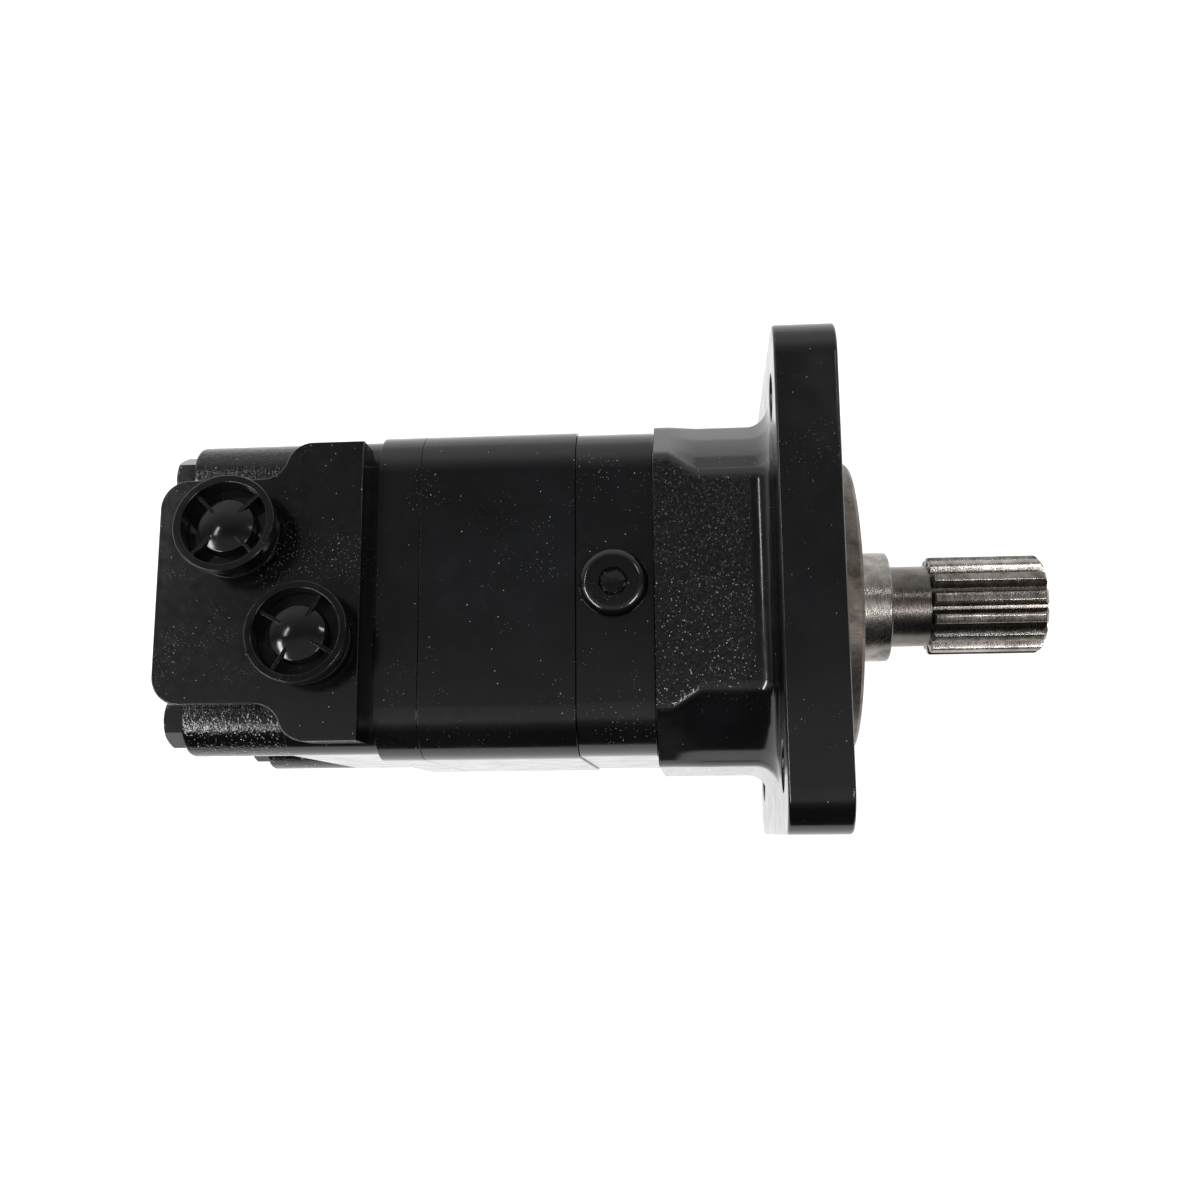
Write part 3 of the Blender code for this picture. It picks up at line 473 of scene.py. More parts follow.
class Look:
    """A material under construction, with short calls for adding and linking its nodes."""

    def __init__(self, name, colour, roughness, metallic=0.0):
        self.material = bpy.data.materials.new(name)
        self.material.use_nodes = True
        self.tree = self.material.node_tree
        self.shader = self.tree.nodes["Principled BSDF"]
        self.shader.inputs["Base Color"].default_value = (*colour, 1)
        self.shader.inputs["Roughness"].default_value = roughness
        self.shader.inputs["Metallic"].default_value = metallic
        self.place = self.tree.nodes.new("ShaderNodeTexCoord").outputs["Object"]

    def node(self, kind, inputs=(), **settings):
        made = self.tree.nodes.new(kind)
        for key, value in settings.items():
            setattr(made, key, value)
        for key, value in dict(inputs).items():
            if isinstance(value, bpy.types.NodeSocket):
                self.tree.links.new(value, made.inputs[key])
            else:
                made.inputs[key].default_value = value
        return made

    def stretched(self, scale):
        inputs = {"Vector": self.place, "Scale": scale}
        return self.node("ShaderNodeMapping", inputs).outputs["Vector"]

    def noise(self, scale, detail=2.0, roughness=0.5, place=None):
        inputs = {"Vector": place or self.place, "Scale": scale}
        inputs.update({"Detail": detail, "Roughness": roughness})
        return self.node("ShaderNodeTexNoise", inputs).outputs["Fac"]

    def cells(self, scale):
        """How far a point is from the middle of its cell."""
        inputs = {"Vector": self.place, "Scale": scale}
        return self.node("ShaderNodeTexVoronoi", inputs, feature="F1").outputs["Distance"]

    def axis(self, name):
        """One coordinate of the piece's own space."""
        return self.node("ShaderNodeSeparateXYZ", {"Vector": self.place}).outputs[name]

    def spread(self, value, low, high, to_low=0.0, to_high=1.0):
        inputs = {"Value": value, "From Min": low, "From Max": high}
        inputs.update({"To Min": to_low, "To Max": to_high})
        return self.node("ShaderNodeMapRange", inputs).outputs["Result"]

    def blend(self, factor, first, second):
        """A colour between two colours or colour sockets."""
        made = self.node("ShaderNodeMix", data_type="RGBA")
        for key, value in (("Factor", factor), ("A", first), ("B", second)):
            socket = [s for s in made.inputs if s.name == key and s.enabled][0]
            if isinstance(value, bpy.types.NodeSocket):
                self.tree.links.new(value, socket)
            else:
                socket.default_value = value if key == "Factor" else (*value, 1)
        return [s for s in made.outputs if s.enabled][0]

    def math(self, operation, first, second):
        made = self.node("ShaderNodeMath", operation=operation)
        for socket, value in zip(made.inputs, (first, second)):
            if isinstance(value, bpy.types.NodeSocket):
                self.tree.links.new(value, socket)
            else:
                socket.default_value = value
        return made.outputs["Value"]

    def bump(self, height, distance, strength=1.0, under=None):
        inputs = {"Height": height, "Distance": distance, "Strength": strength}
        if under:
            inputs["Normal"] = under
        return self.node("ShaderNodeBump", inputs).outputs["Normal"]

    def send(self, socket, value):
        self.tree.links.new(value, self.shader.inputs[socket])


def dust(look, size=0.05, scale=300.0, sparse=0.35):
    """Small pale specks, each 1 at its middle: single ones, and fine ones in drifts."""
    near = look.spread(look.cells(scale), size * 0.6, size, 1.0, 0.0)
    chosen = look.spread(look.noise(scale * 0.13, 1.0), sparse, sparse + 0.1)
    fine = look.spread(look.cells(scale * 3.4), size * 1.5, size * 2.6, 0.75, 0.0)
    drift = look.spread(look.noise(42, 4.0, 0.7), 0.52, 0.66)
    single = look.math("MULTIPLY", near, chosen)
    return look.math("MAXIMUM", single, look.math("MULTIPLY", fine, drift))


def gloss_paint(name, amount):
    """Thin gloss black paint on machined steel: slight waviness, faint turning marks, dust."""
    look = Look(name, PAINT_BLACK, 0.2)
    haze = look.spread(look.noise(28, 4.0, 0.6), 0.35, 0.75)
    base = look.blend(haze, (0.0018, 0.0018, 0.0021), (0.0050, 0.0054, 0.0062))
    specks = dust(look)
    look.send("Base Color", look.blend(specks, base, (amount, amount * 0.98, amount * 0.96)))
    streaks = look.noise(60, 3.0, 0.6, look.stretched((14, 1, 1)))
    rough = look.spread(look.noise(120, 3.0, 0.6), 0.3, 0.7, 0.12, 0.19)
    look.send("Roughness", look.math("ADD", rough, look.math("MULTIPLY", specks, 0.5)))
    wave = look.bump(look.noise(90, 2.0), 0.0003, 0.10)
    look.send("Normal", look.bump(streaks, 0.00004, 0.08, wave))
    return look.material


def cast_paint():
    """Gloss black paint over a sand-cast skin: leathery waves and grains in the bump, and painted
    glints, pale specks in the colour that stand in for grains catching a light.

    The painted glints thin out along the piece's own x, towards the motor's +Y side.
    """
    look = Look("cast_black_paint", PAINT_BLACK, 0.2)
    haze = look.spread(look.noise(35, 3.0, 0.6), 0.35, 0.75)
    base = look.blend(haze, (0.0018, 0.0018, 0.0020), (0.0042, 0.0043, 0.0047))
    # Painted light: the glints are dense on the motor's -Y side and thin out towards +Y, as the
    # light falls.
    lower = look.spread(look.axis("X"), -0.040, 0.020, 1.0, 0.12)
    chosen = look.spread(look.noise(640, 2.0, 0.6), 0.49, 0.62)
    # Painted glints: pale specks in the colour that stand in for sparkles of light on the grains.
    painted_glints = look.spread(look.cells(1250), 0.10, 0.22, 1.0, 0.0)
    painted_glints = look.math("MULTIPLY", look.math("MULTIPLY", painted_glints, chosen), lower)
    specks = look.math("MULTIPLY", dust(look, 0.06, 260), 0.4)
    # From here the pale specks hold both the real dust and the painted glints.
    specks = look.math("MAXIMUM", specks, painted_glints)
    look.send("Base Color", look.blend(specks, base, (0.88, 0.87, 0.85)))
    rough = look.spread(look.noise(170, 3.0, 0.6), 0.3, 0.7, 0.08, 0.16)
    look.send("Roughness", look.math("ADD", rough, look.math("MULTIPLY", specks, 0.3)))
    pits = look.spread(look.cells(1250), 0.05, 0.45, 1.0, 0.0)
    grains = look.math("ADD", pits, look.noise(1900, 2.0, 0.6))
    leather = look.bump(look.noise(560, 3.0, 0.55), 0.00028, 0.45)
    look.send("Normal", look.bump(grains, 0.00008, 0.8, leather))
    return look.material


def satin_paint():
    """Black paint on the milled port face: smooth to the eye, with a fine tooth and specks."""
    look = Look("satin_black_paint", PAINT_BLACK, 0.2)
    haze = look.spread(look.noise(24, 4.0, 0.6), 0.3, 0.8)
    base = look.blend(haze, (0.0022, 0.0022, 0.0024), (0.0046, 0.0047, 0.0050))
    specks = dust(look, 0.07, 420, 0.30)
    look.send("Base Color", look.blend(specks, base, (0.30, 0.30, 0.29)))
    rough = look.spread(look.noise(300, 3.0, 0.6), 0.3, 0.7, 0.13, 0.19)
    look.send("Roughness", look.math("ADD", rough, look.math("MULTIPLY", specks, 0.4)))
    look.send("Normal", look.bump(look.noise(2200, 2.0, 0.6), 0.00003, 0.4))
    return look.material


def bare_steel(name, dark, pale, roughness, stretch, lay=420, deep=0.00005, shaded_radius=None):
    """Machined steel with fine tool marks, oil stain and brighter worn patches.

    The tool marks have the scale lay, drawn out by stretch, and stand deep. Round the radius given
    by the last argument and inside it, between a spline's teeth, the colour is darkened as painted
    shade.
    """
    look = Look(name, pale, sum(roughness) / 2, 1.0)
    stain = look.spread(look.noise(45, 5.0, 0.65), 0.32, 0.68)
    smear = look.spread(look.noise(210, 4.0, 0.65), 0.40, 0.62)
    marks = look.noise(lay, 4.0, 0.7, look.stretched(stretch))
    tone = look.math("ADD", look.math("MULTIPLY", stain, 0.45), look.math("MULTIPLY", marks, 0.45))
    tone = look.math("ADD", tone, look.math("MULTIPLY", smear, 0.22))
    tone = look.spread(tone, 0.25, 0.85)
    # Painted shade: inside this radius the tone drops to 0.3, between the spline's teeth, on the
    # neck and in the bore.
    if shaded_radius:
        squares = [look.math("MULTIPLY", look.axis(way), look.axis(way)) for way in "XY"]
        bottom, top = (shaded_radius - 0.0010) ** 2, (shaded_radius + 0.0009) ** 2
        painted_root_shade = look.spread(look.math("ADD", *squares), bottom, top, 0.30, 1.0)
        tone = look.math("MULTIPLY", tone, painted_root_shade)
    look.send("Base Color", look.blend(tone, dark, pale))
    look.send("Roughness", look.spread(marks, 0.3, 0.7, *roughness))
    grit = look.bump(look.noise(1600, 2.0), 0.00006, 0.3)
    look.send("Normal", look.bump(marks, deep, 0.5, grit))
    return look.material


def moulded_plastic():
    """Shiny black moulded plastic with faint flow marks and a little dust."""
    look = Look("moulded_black_plastic", (0.008, 0.008, 0.009), 0.2)
    look.shader.inputs["Specular IOR Level"].default_value = 0.32
    haze = look.spread(look.noise(110, 4.0, 0.6), 0.35, 0.7)
    base = look.blend(haze, (0.0025, 0.0025, 0.0028), (0.0060, 0.0060, 0.0066))
    specks = dust(look, 0.05, 420, 0.5)
    look.send("Base Color", look.blend(specks, base, (0.30, 0.30, 0.30)))
    look.send("Roughness", look.spread(look.noise(260, 3.0), 0.3, 0.7, 0.08, 0.17))
    look.send("Normal", look.bump(look.noise(420, 2.0), 0.0002, 0.08))
    return look.material


def nitrile():
    look = Look("nitrile_rubber", (0.02, 0.02, 0.02), 0.55)
    tone = look.spread(look.noise(300, 4.0, 0.6), 0.3, 0.7)
    look.send("Base Color", look.blend(tone, (0.012, 0.012, 0.012), (0.030, 0.030, 0.031)))
    look.send("Roughness", look.spread(look.noise(500, 2.0), 0.3, 0.7, 0.45, 0.7))
    look.send("Normal", look.bump(look.noise(1500, 2.0), 0.0001, 0.4))
    return look.material


PAINT = gloss_paint("gloss_black_paint", 0.42)
CAST = cast_paint()
PAD = satin_paint()
EDGE = gloss_paint("smooth_black_paint", 0.26)
FASTENER = gloss_paint("fastener_black_paint", 0.30)
# Its last figure is the radius inside which shade is painted into the shaft's colour.
STEEL = bare_steel(
    "oiled_machined_steel",
    (0.075, 0.066, 0.058),
    (0.41, 0.38, 0.35),
    (0.15, 0.36),
    (0.25, 6, 6),
    shaded_radius=0.0142,
)
PILOT = bare_steel(
    "turned_pilot_steel",
    (0.055, 0.045, 0.038),
    (0.25, 0.215, 0.187),
    (0.34, 0.56),
    (8, 1, 1),
    lay=260,
    deep=0.00016,
)
GROUND = bare_steel(
    "ground_bearing_steel",
    (0.36, 0.36, 0.37),
    (0.62, 0.62, 0.63),
    (0.12, 0.26),
    (1, 5, 5),
)
PLASTIC = moulded_plastic()
RUBBER = nitrile()


# Front housing


def beside_axis(u, v):
    """The place of an axial piece whose own axis stands off the motor's axis."""
    return AXIAL @ Matrix.Translation((u, v, 0))


def tie_hole_cutters(low, high):
    profile = [(0, high), (TIE_HOLE_R, high), (TIE_HOLE_R, low), (0, low)]
    corners = corner_points(TIE_BOLT)
    return [lathe("tie_hole", profile, beside_axis(u, v), 24) for u, v in corners]


def casting_sections(joint):
    """The sections of the casting from its joint, past the relieved corners, to the flange."""
    side = (FRONT_SIDE_FLAT, FRONT_SIDE_EASE)
    edge = cut_square(FRONT_HALF - FRONT_EDGE, FRONT_FLAT - FRONT_EDGE / 2, *side)
    sections = [(joint, edge), (joint + FRONT_EDGE, cut_square(FRONT_HALF, FRONT_FLAT, *side))]
    start, end = joint + RELIEF_RUN[0], joint + RELIEF_RUN[1]
    for step in range(9):
        t = step / 8
        ease = smooth(t) * 0.35 + t * 0.65
        flat = FRONT_FLAT + (RELIEF_FLAT - FRONT_FLAT) * ease
        side_flat = FRONT_SIDE_FLAT + (RELIEF_FLAT - FRONT_SIDE_FLAT) * ease
        side_ease = FRONT_SIDE_EASE + (RELIEF_SIDE_EASE - FRONT_SIDE_EASE) * ease
        section = cut_square(FRONT_HALF, flat, side_flat, side_ease, RELIEF_SWELL * ease)
        sections.append((start + (end - start) * t, section))
    widen = math.tan(math.pi / 8)
    for step in range(13):
        bend = math.pi / 2 * step / 12
        height = -FLANGE_THICK - FLANGE_FILLET * (1 - math.sin(bend))
        spread = FLANGE_FILLET * (1 - math.cos(bend))
        flat = RELIEF_FLAT + spread * widen
        half = FRONT_HALF + spread
        section = cut_square(half, flat, flat, RELIEF_SIDE_EASE, RELIEF_SWELL)
        sections.append((height, section))
    return sections + [(-FLANGE_THICK / 2, section)]


def front_casting():
    low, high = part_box("front_housing")
    joint, half = low.x, high.y
    holes = [circle(FLANGE_HOLE_R, 48, u, v) for u, v in corner_points(FLANGE_BOLT)]
    outlines = [rounded_rectangle(half, half, FLANGE_CORNER)] + holes
    casting = plate("front_casting", outlines, -FLANGE_THICK, 0, FLANGE_EDGE, steps=3)
    join(casting, loft("front_body", casting_sections(joint)))
    bore = lathe(
        "front_bore",
        [
            (0, PAST),
            (DUST_RECESS_R, PAST),
            (DUST_RECESS_R, DUST_RECESS),
            (SEAL_LAND_R, DUST_RECESS),
            (SEAL_LAND_R, SEAL_BORE_FRONT),
            (SEAL_BORE_R, SEAL_BORE_FRONT),
            (SEAL_BORE_R, FRONT_CUP_STOP),
            (FRONT_BORE_R, FRONT_CUP_STOP),
            (FRONT_BORE_R, REAR_CUP_STOP),
            (REAR_BORE_R, REAR_CUP_STOP),
            (REAR_BORE_R, joint - PAST),
            (0, joint - PAST),
        ],
    )
    cut(casting, bore, *tie_hole_cutters(joint - PAST, TIE_HOLE_END))
    finish_piece(casting, "housing", CAST, ["front_housing"])
    # The flange, its fillet and the relieved corners are smoother than the flats.
    casting.data.materials.append(EDGE)
    turned = casting.matrix_world.to_3x3()
    for face in casting.data.polygons:
        normal = turned @ face.normal
        oblique = min(abs(normal.y), abs(normal.z)) > 0.25
        if oblique or face.center.z > -FLANGE_THICK - FLANGE_FILLET:
            face.material_index = 1


def pilot_disc():
    """The bare machined register in front of the flange."""
    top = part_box("front_housing")[1].x
    profile = [
        (PILOT_R, top - 0.0010),
        (PILOT_R - 0.0007, top - 0.0003),
        (PILOT_R - 0.0011, top),
        (DUST_RECESS_R + 0.0004, top),
        (DUST_RECESS_R, top - 0.0004),
        (DUST_RECESS_R, PILOT_LIFT),
        (PILOT_R, PILOT_LIFT),
    ]
    disc = lathe("pilot_disc", profile, steps=192, ring=True)
    finish_piece(disc, "housing", PILOT, degrees=30)


# Plates of the stack


def stack_plate(node, openings):
    """A square plate of the stack, which runs a little into the plates beside it."""
    low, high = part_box(node)
    outlines = [rounded_rectangle(high.y, high.y, STACK_CORNER, 24)] + openings
    outlines += [circle(TIE_HOLE_R, 24, u, v) for u, v in corner_points(TIE_BOLT)]
    rear, front = low.x - STACK_OVERLAP, high.x + STACK_OVERLAP
    return plate(node + "_body", outlines, rear, front, STACK_EDGE)


def spacer_plate():
    piece = stack_plate("spacer_plate", [circle(SPACER_BORE_R, 64)])
    low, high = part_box("drain_plug")
    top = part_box("spacer_plate")[1].z
    drain = lathe(
        "drain_hole",
        [
            (0, top + PAST),
            (PLUG_SEAT_R, top + PAST),
            (PLUG_SEAT_R, top - PLUG_SEAT_DEEP),
            (PLUG_HOLE_R, top - PLUG_SEAT_DEEP),
            (PLUG_HOLE_R, top - PLUG_HOLE_LONG),
            (DRAIN_DRILL_R, top - PLUG_HOLE_LONG),
            (DRAIN_DRILL_R, DRAIN_DRILL_FLOOR),
            (0, DRAIN_DRILL_FLOOR),
        ],
        Matrix.Translation(((low.x + high.x) / 2, 0, 0)),
        64,
    )
    cut(piece, drain)
    finish_piece(piece, "housing", PAINT, ["spacer_plate"])


def drain_plug():
    low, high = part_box("drain_plug")
    radius, top = high.y, high.z
    base, ease = top - PLUG_HEAD_HIGH, PLUG_HEAD_EASE
    place = Matrix.Translation(((low.x + high.x) / 2, 0, 0))
    edge = arc(ease, 0, 90, 12, radius - ease, top - ease)[::-1]
    stem = [(PLUG_STEM_R, base), (PLUG_STEM_R, low.z + 0.0006), (PLUG_STEM_R - 0.0006, low.z)]
    profile = [(0, top)] + edge + [(radius, base)] + stem + [(0, low.z)]
    plug = lathe("drain_plug_head", profile, place)
    angles = even_angles(72)
    flats = hexagon_radii(angles, PLUG_SOCKET_HALF)
    mouth = [max(r, PLUG_SOCKET_MOUTH_R) for r in flats]
    socket = polar_loft(
        "plug_socket",
        angles,
        [
            (top - PLUG_SOCKET_DEEP - 0.0004, 0.0012),
            (top - PLUG_SOCKET_DEEP, flats),
            (top - 0.0008, flats),
            (top - 0.0007, mouth),
            (top + 0.0002, [r + 0.0009 for r in mouth]),
        ],
        place @ Matrix.Rotation(PLUG_TURN, 4, "Z"),
    )
    cut(plug, socket)
    finish_piece(plug, "housing", FASTENER, ["drain_plug"], 30)


def geroler_ring():
    lean = math.degrees(math.asin(POCKET_R / ROLLER_CIRCLE))
    bore_r = math.sqrt(ROLLER_CIRCLE**2 - POCKET_R**2)
    pitch = 360 / ROLLERS
    pockets = []
    for k in range(ROLLERS):
        turn = k * pitch
        u = ROLLER_CIRCLE * math.cos(math.radians(turn))
        v = ROLLER_CIRCLE * math.sin(math.radians(turn))
        pockets += arc(POCKET_R, turn - 90 - lean, turn + 90 + lean, 20, u, v)
        pockets += arc(bore_r, turn + lean, turn + pitch - lean, 6)[1:-1]
    ring = stack_plate("geroler_ring", [pockets])
    finish_piece(ring, "housing", PAINT, ["geroler_ring"])


def channel_plate():
    pitch = math.radians(360 / ROLLERS)
    inner, outer = CHANNEL_SLOT_ENDS
    slot = arc(CHANNEL_SLOT_R, -90, 90, 8, outer, 0) + arc(CHANNEL_SLOT_R, 90, 270, 8, inner, 0)
    openings = [circle(CHANNEL_BORE_R, 48)]
    for k in range(ROLLERS):
        turn = (k + 0.5) * pitch
        along, across = math.cos(turn), math.sin(turn)
        openings.append([(u * along - v * across, u * across + v * along) for u, v in slot])
    piece = stack_plate("channel_plate", openings)
    finish_piece(piece, "housing", PAINT, ["channel_plate"])


# Valve housing


def pad_outline(rear):
    """The port face: wide at the stack, drawn in by an S at each side towards the rear."""
    sweep = math.acos(1 - (PAD_WIDE - PAD_NARROW) / (2 * PAD_STEP_R))
    bend = math.degrees(sweep)
    run = PAD_STEP_R * math.sin(sweep)
    side = [(PAD_FRONT, PAD_WIDE)]
    side += arc(PAD_STEP_R, 90, 90 + bend, 12, PAD_STEP + run, PAD_WIDE - PAD_STEP_R)
    side += arc(PAD_STEP_R, bend - 90, -90, 12, PAD_STEP - run, PAD_NARROW + PAD_STEP_R)[1:]
    side += arc(PAD_CORNER, 90, 180, 14, rear + PAD_CORNER, PAD_NARROW - PAD_CORNER)
    near = [(x, PAD_MIDDLE - y) for x, y in reversed(side)]
    return [(x, PAD_MIDDLE + y) for x, y in side] + near


def bolt_boss(n, u, v, corner):
    """The round seat of a tie bolt's head. Each reaches a little further into the core."""
    reach = VALVE_CORE_FRONT - 0.001 * (n + 1)
    outer = corner - 0.00004
    profile = [
        (0, reach),
        (outer, reach),
        (outer, TIE_SEAT + 0.0014),
        (outer - 0.0004, TIE_SEAT + 0.0004),
        (outer - 0.0014, TIE_SEAT),
        (0, TIE_SEAT),
    ]
    return lathe(f"boss_{n}", profile, beside_axis(u, v), 72)


def port_cutter(n, top):
    """A port's bore with shallow rings for its thread, and the drilling at its floor."""
    x, y = PORT_PLACES[n - 1]
    foot = PORT_DRILL_FLOORS[n - 1]
    floor = top - PORT_DEEP
    mouth = PORT_R + PORT_EDGE + PAST
    profile = [(0, top + PAST), (mouth, top + PAST), (PORT_R, top - PORT_EDGE)]
    for turn in range(PORT_RINGS):
        height = top - PORT_RING_TOP - turn * PORT_RING_PITCH
        if height - PORT_RING_HIGH > floor:
            middle = height - PORT_RING_HIGH / 2
            profile += [(PORT_R, height), (PORT_R + PORT_RING_DEEP, middle)]
            profile.append((PORT_R, height - PORT_RING_HIGH))
    profile += [(PORT_R, floor), (PORT_DRILL_R, floor), (PORT_DRILL_R, foot), (0, foot)]
    return lathe(f"port_{n}", profile, Matrix.Translation((x, y, 0)), 64)


def valve_housing():
    low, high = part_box("valve_housing")
    front, rear, top, half = high.x, low.x, high.z, -low.z
    corner = half - TIE_BOLT
    square = rounded_rectangle(half, half, corner, 24)
    housing = plate("valve_casting", [square], VALVE_SHELF, front + STACK_OVERLAP, VALVE_EDGE)
    oblong = rounded_rectangle(*VALVE_CORE_HALF, VALVE_CORE_CORNER, 10)
    core_rear = rear + VALVE_CORE_INSET
    core = plate("valve_core", [oblong], core_rear, VALVE_CORE_FRONT, VALVE_CORE_EDGE, steps=3)
    pad = plate("valve_pad", [pad_outline(rear)], PAD_BASE, top, PAD_EDGE, Matrix(), 3)
    corners = enumerate(corner_points(TIE_BOLT))
    join(housing, core, pad, *[bolt_boss(n, u, v, corner) for n, (u, v) in corners])
    bore = lathe(
        "valve_bore",
        [
            (0, front + PAST),
            (VALVE_BORE_R, front + PAST),
            (VALVE_BORE_R, VALVE_BORE_REAR),
            (BALANCE_BORE_R, VALVE_BORE_REAR),
            (BALANCE_BORE_R, BALANCE_BORE_REAR),
            (0, BALANCE_BORE_REAR),
        ],
    )
    tie_holes = tie_hole_cutters(TIE_SEAT - PAST, front + PAST)
    cut(housing, bore, *tie_holes, port_cutter(1, top), port_cutter(2, top))
    finish_piece(housing, "housing", PAINT, ["valve_housing"])
    # The pad is satin from its rim up, and everything behind the shelf is a rough casting.
    housing.data.materials.append(PAD)
    housing.data.materials.append(CAST)
    turned = housing.matrix_world.to_3x3()
    for face in housing.data.polygons:
        normal, centre = turned @ face.normal, housing.matrix_world @ face.center
        if centre.z > (SATIN_FLATS_FROM if normal.z > 0.5 else SATIN_SIDES_FROM):
            face.material_index = 1
        elif centre.x < VALVE_SHELF + 0.0006:
            face.material_index = 2


def tie_bolts():
    angles = even_angles(72)
    hexagon = np.array(hexagon_radii(angles, TIE_HEAD_HALF))
    for n in range(1, 5):
        low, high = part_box(f"tie_bolt_{n}")
        end, seat = low.x, low.x + TIE_HEAD_HIGH
        stations = [(end, TIE_HEAD_HALF - 0.0006)]
        for drop in (0.0, 0.0003, 0.0006, 0.0010, 0.0014):
            cone = TIE_HEAD_HALF - 0.0003 + drop * math.tan(math.radians(60))
            stations.append((end + 0.0001 + drop, np.minimum(hexagon, cone)))
        stations += [
            (seat - 0.0005, hexagon),
            (seat - 0.0004, TIE_HEAD_HALF - 0.0002),
            (seat, TIE_HEAD_HALF - 0.0003),
            (seat, TIE_SHANK_R),
            (high.x - 0.0007, TIE_SHANK_R),
            (high.x, TIE_SHANK_R - 0.00066),
        ]
        place = beside_axis((low.y + high.y) / 2, (low.z + high.z) / 2)
        piece = polar_loft(f"tie_bolt_{n}_body", angles, stations, place)
        finish_piece(piece, "housing", FASTENER, [f"tie_bolt_{n}"], 25)


# Transport caps


def cap_profile(shelf):
    """The cap's hub, well and rim, down to the shelf under the rim, and its inside."""
    crown = CAP_HIGH - 0.0007
    reach = CAP_HUB_R - CAP_EASE
    fall = crown - CAP_DOME_R
    dome = [(r, fall + math.sqrt(CAP_DOME_R**2 - r**2)) for r in np.linspace(0, reach, 14)]
    brim = dome[-1][1] - CAP_EASE
    for turn in (0.7, 1.1, 1.57):
        radius = CAP_HUB_R - CAP_EASE * (1 - math.sin(turn))
        dome.append((radius, brim + CAP_EASE * math.cos(turn)))
    well = [
        (CAP_HUB_R, CAP_WELL_FLOOR + 0.0004),
        (CAP_HUB_R + 0.0004, CAP_WELL_FLOOR),
        (CAP_WELL_R - 0.0003, CAP_WELL_FLOOR),
        (CAP_WELL_R, CAP_WELL_FLOOR + 0.0003),
    ]
    rim = arc(CAP_EASE, 180, 90, 4, CAP_WELL_R + CAP_EASE, CAP_HIGH - CAP_EASE)
    rim += arc(CAP_EASE, 90, 0, 4, CAP_RIM_R - CAP_EASE, CAP_HIGH - CAP_EASE)
    under = [
        (CAP_RIM_R, shelf + 0.0002),
        (CAP_RIM_R - 0.0003, shelf),
        (CAP_SKIRT_R - 0.0006, shelf - 0.0001),
        (CAP_SKIRT_R - 0.0006, CAP_BAND_HIGH),
        (CAP_HOLLOW_R, CAP_BAND_HIGH),
        (CAP_HOLLOW_R, CAP_HOLLOW_HIGH),
        (0, CAP_HOLLOW_HIGH),
    ]
    return dome + well + rim + under


def skirt_stations(shelf, angles):
    """The knurled skirt, the stem with its thread, and back up inside."""
    wave = [math.cos(a * KNURLS) for a in angles]
    knurl = np.array([CAP_SKIRT_R - KNURL_DEEP + KNURL_DEEP * w for w in wave])
    stations = [
        (shelf - 0.0001, knurl - 0.0004),
        (shelf - 0.0005, knurl),
        (CAP_STEM_TOP, knurl),
        (CAP_BAND_HIGH, knurl - 0.0003),
        (0.0011, CAP_SKIRT_R - 0.0001),
        (0.0005, CAP_SKIRT_R - 0.0001),
        (CAP_FOOT, CAP_SKIRT_R - 0.0003),
        (CAP_FOOT, CAP_STEM_R),
        (-0.0010, CAP_STEM_R),
    ]
    for turn in range(CAP_THREAD_TURNS):
        base = -0.0012 - CAP_THREAD_PITCH * turn
        stations += [(base, CAP_STEM_R), (base - CAP_THREAD, CAP_STEM_R - CAP_THREAD)]
    return stations + [
        (CAP_THREAD - CAP_STEM_LONG, CAP_STEM_R - CAP_THREAD),
        (-CAP_STEM_LONG, CAP_STEM_R - 0.0009),
        (-CAP_STEM_LONG, CAP_STEM_BORE_R),
        (CAP_STEM_TOP, CAP_STEM_BORE_R),
        (CAP_STEM_TOP, CAP_SKIRT_R - 0.0008),
        (shelf - 0.0001, CAP_SKIRT_R - 0.0008),
    ]


def port_cap(n):
    """A plastic plug: knurled skirt, open rim, domed hub held by four ribs, threaded stem."""
    x, y = PORT_PLACES[n - 1]
    lean, turn = CAP_LEANS[n - 1], CAP_TURNS[n - 1]
    lift = (CAP_SKIRT_R + 0.0004) * abs(math.sin(lean))
    tilt = Matrix.Rotation(-lean, 4, "X") @ Matrix.Rotation(turn, 4, "Z")
    matrix = Matrix.Translation((x, y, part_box("valve_housing")[1].z + lift)) @ tilt
    shelf = CAP_HIGH - CAP_RIM_HIGH
    body = lathe(f"port_cap_{n}_body", cap_profile(shelf), matrix, 128)
    long, thin = CAP_WELL_R + 0.0006, CAP_RIB_HALF
    bottom, top = CAP_WELL_FLOOR - 0.001, CAP_HIGH - 0.0014
    ribs = []
    for half_u, half_v in ((long, thin), (thin, long)):
        bar = [(half_u, half_v), (-half_u, half_v), (-half_u, -half_v), (half_u, -half_v)]
        ribs.append(plate(f"rib_{n}", [bar], bottom, top, CAP_RIB_EDGE, matrix))
    join(body, *ribs)
    angles = even_angles(4 * KNURLS)
    stations = skirt_stations(shelf, angles)
    skirt = polar_loft(f"port_cap_{n}_skirt", angles, stations, matrix, ring=True)
    finish_piece(body, f"port_cap_{n}", PLASTIC, [f"port_cap_{n}"], 40)
    finish_piece(skirt, f"port_cap_{n}", PLASTIC, (), 40)


# Output shaft


def across_tooth(angle, pitch):
    """How far an angle lies from a tooth's middle: 0 there, and 1 at the middle of a gap."""
    return abs((angle + pitch / 2) % pitch - pitch / 2) / (pitch / 2)


def spline_radii(angles):
    """Rounded teeth: lands, curved flanks and filleted roots."""
    pitch = 2 * math.pi / SPLINE_TEETH
    flank_share = 1 - SPLINE_TIP_SHARE - SPLINE_ROOT_SHARE
    radii = []
    for angle in angles:
        off = across_tooth(angle - math.pi / 2, pitch)
        t = min(max((off - SPLINE_TIP_SHARE) / flank_share, 0), 1)
        flank = 1 - (t * 0.72 + 0.28 * smooth(t)) ** 0.92
        radii.append(SPLINE_ROOT_R + (SPLINE_TIP_R - SPLINE_ROOT_R) * flank)
    return np.array(radii)


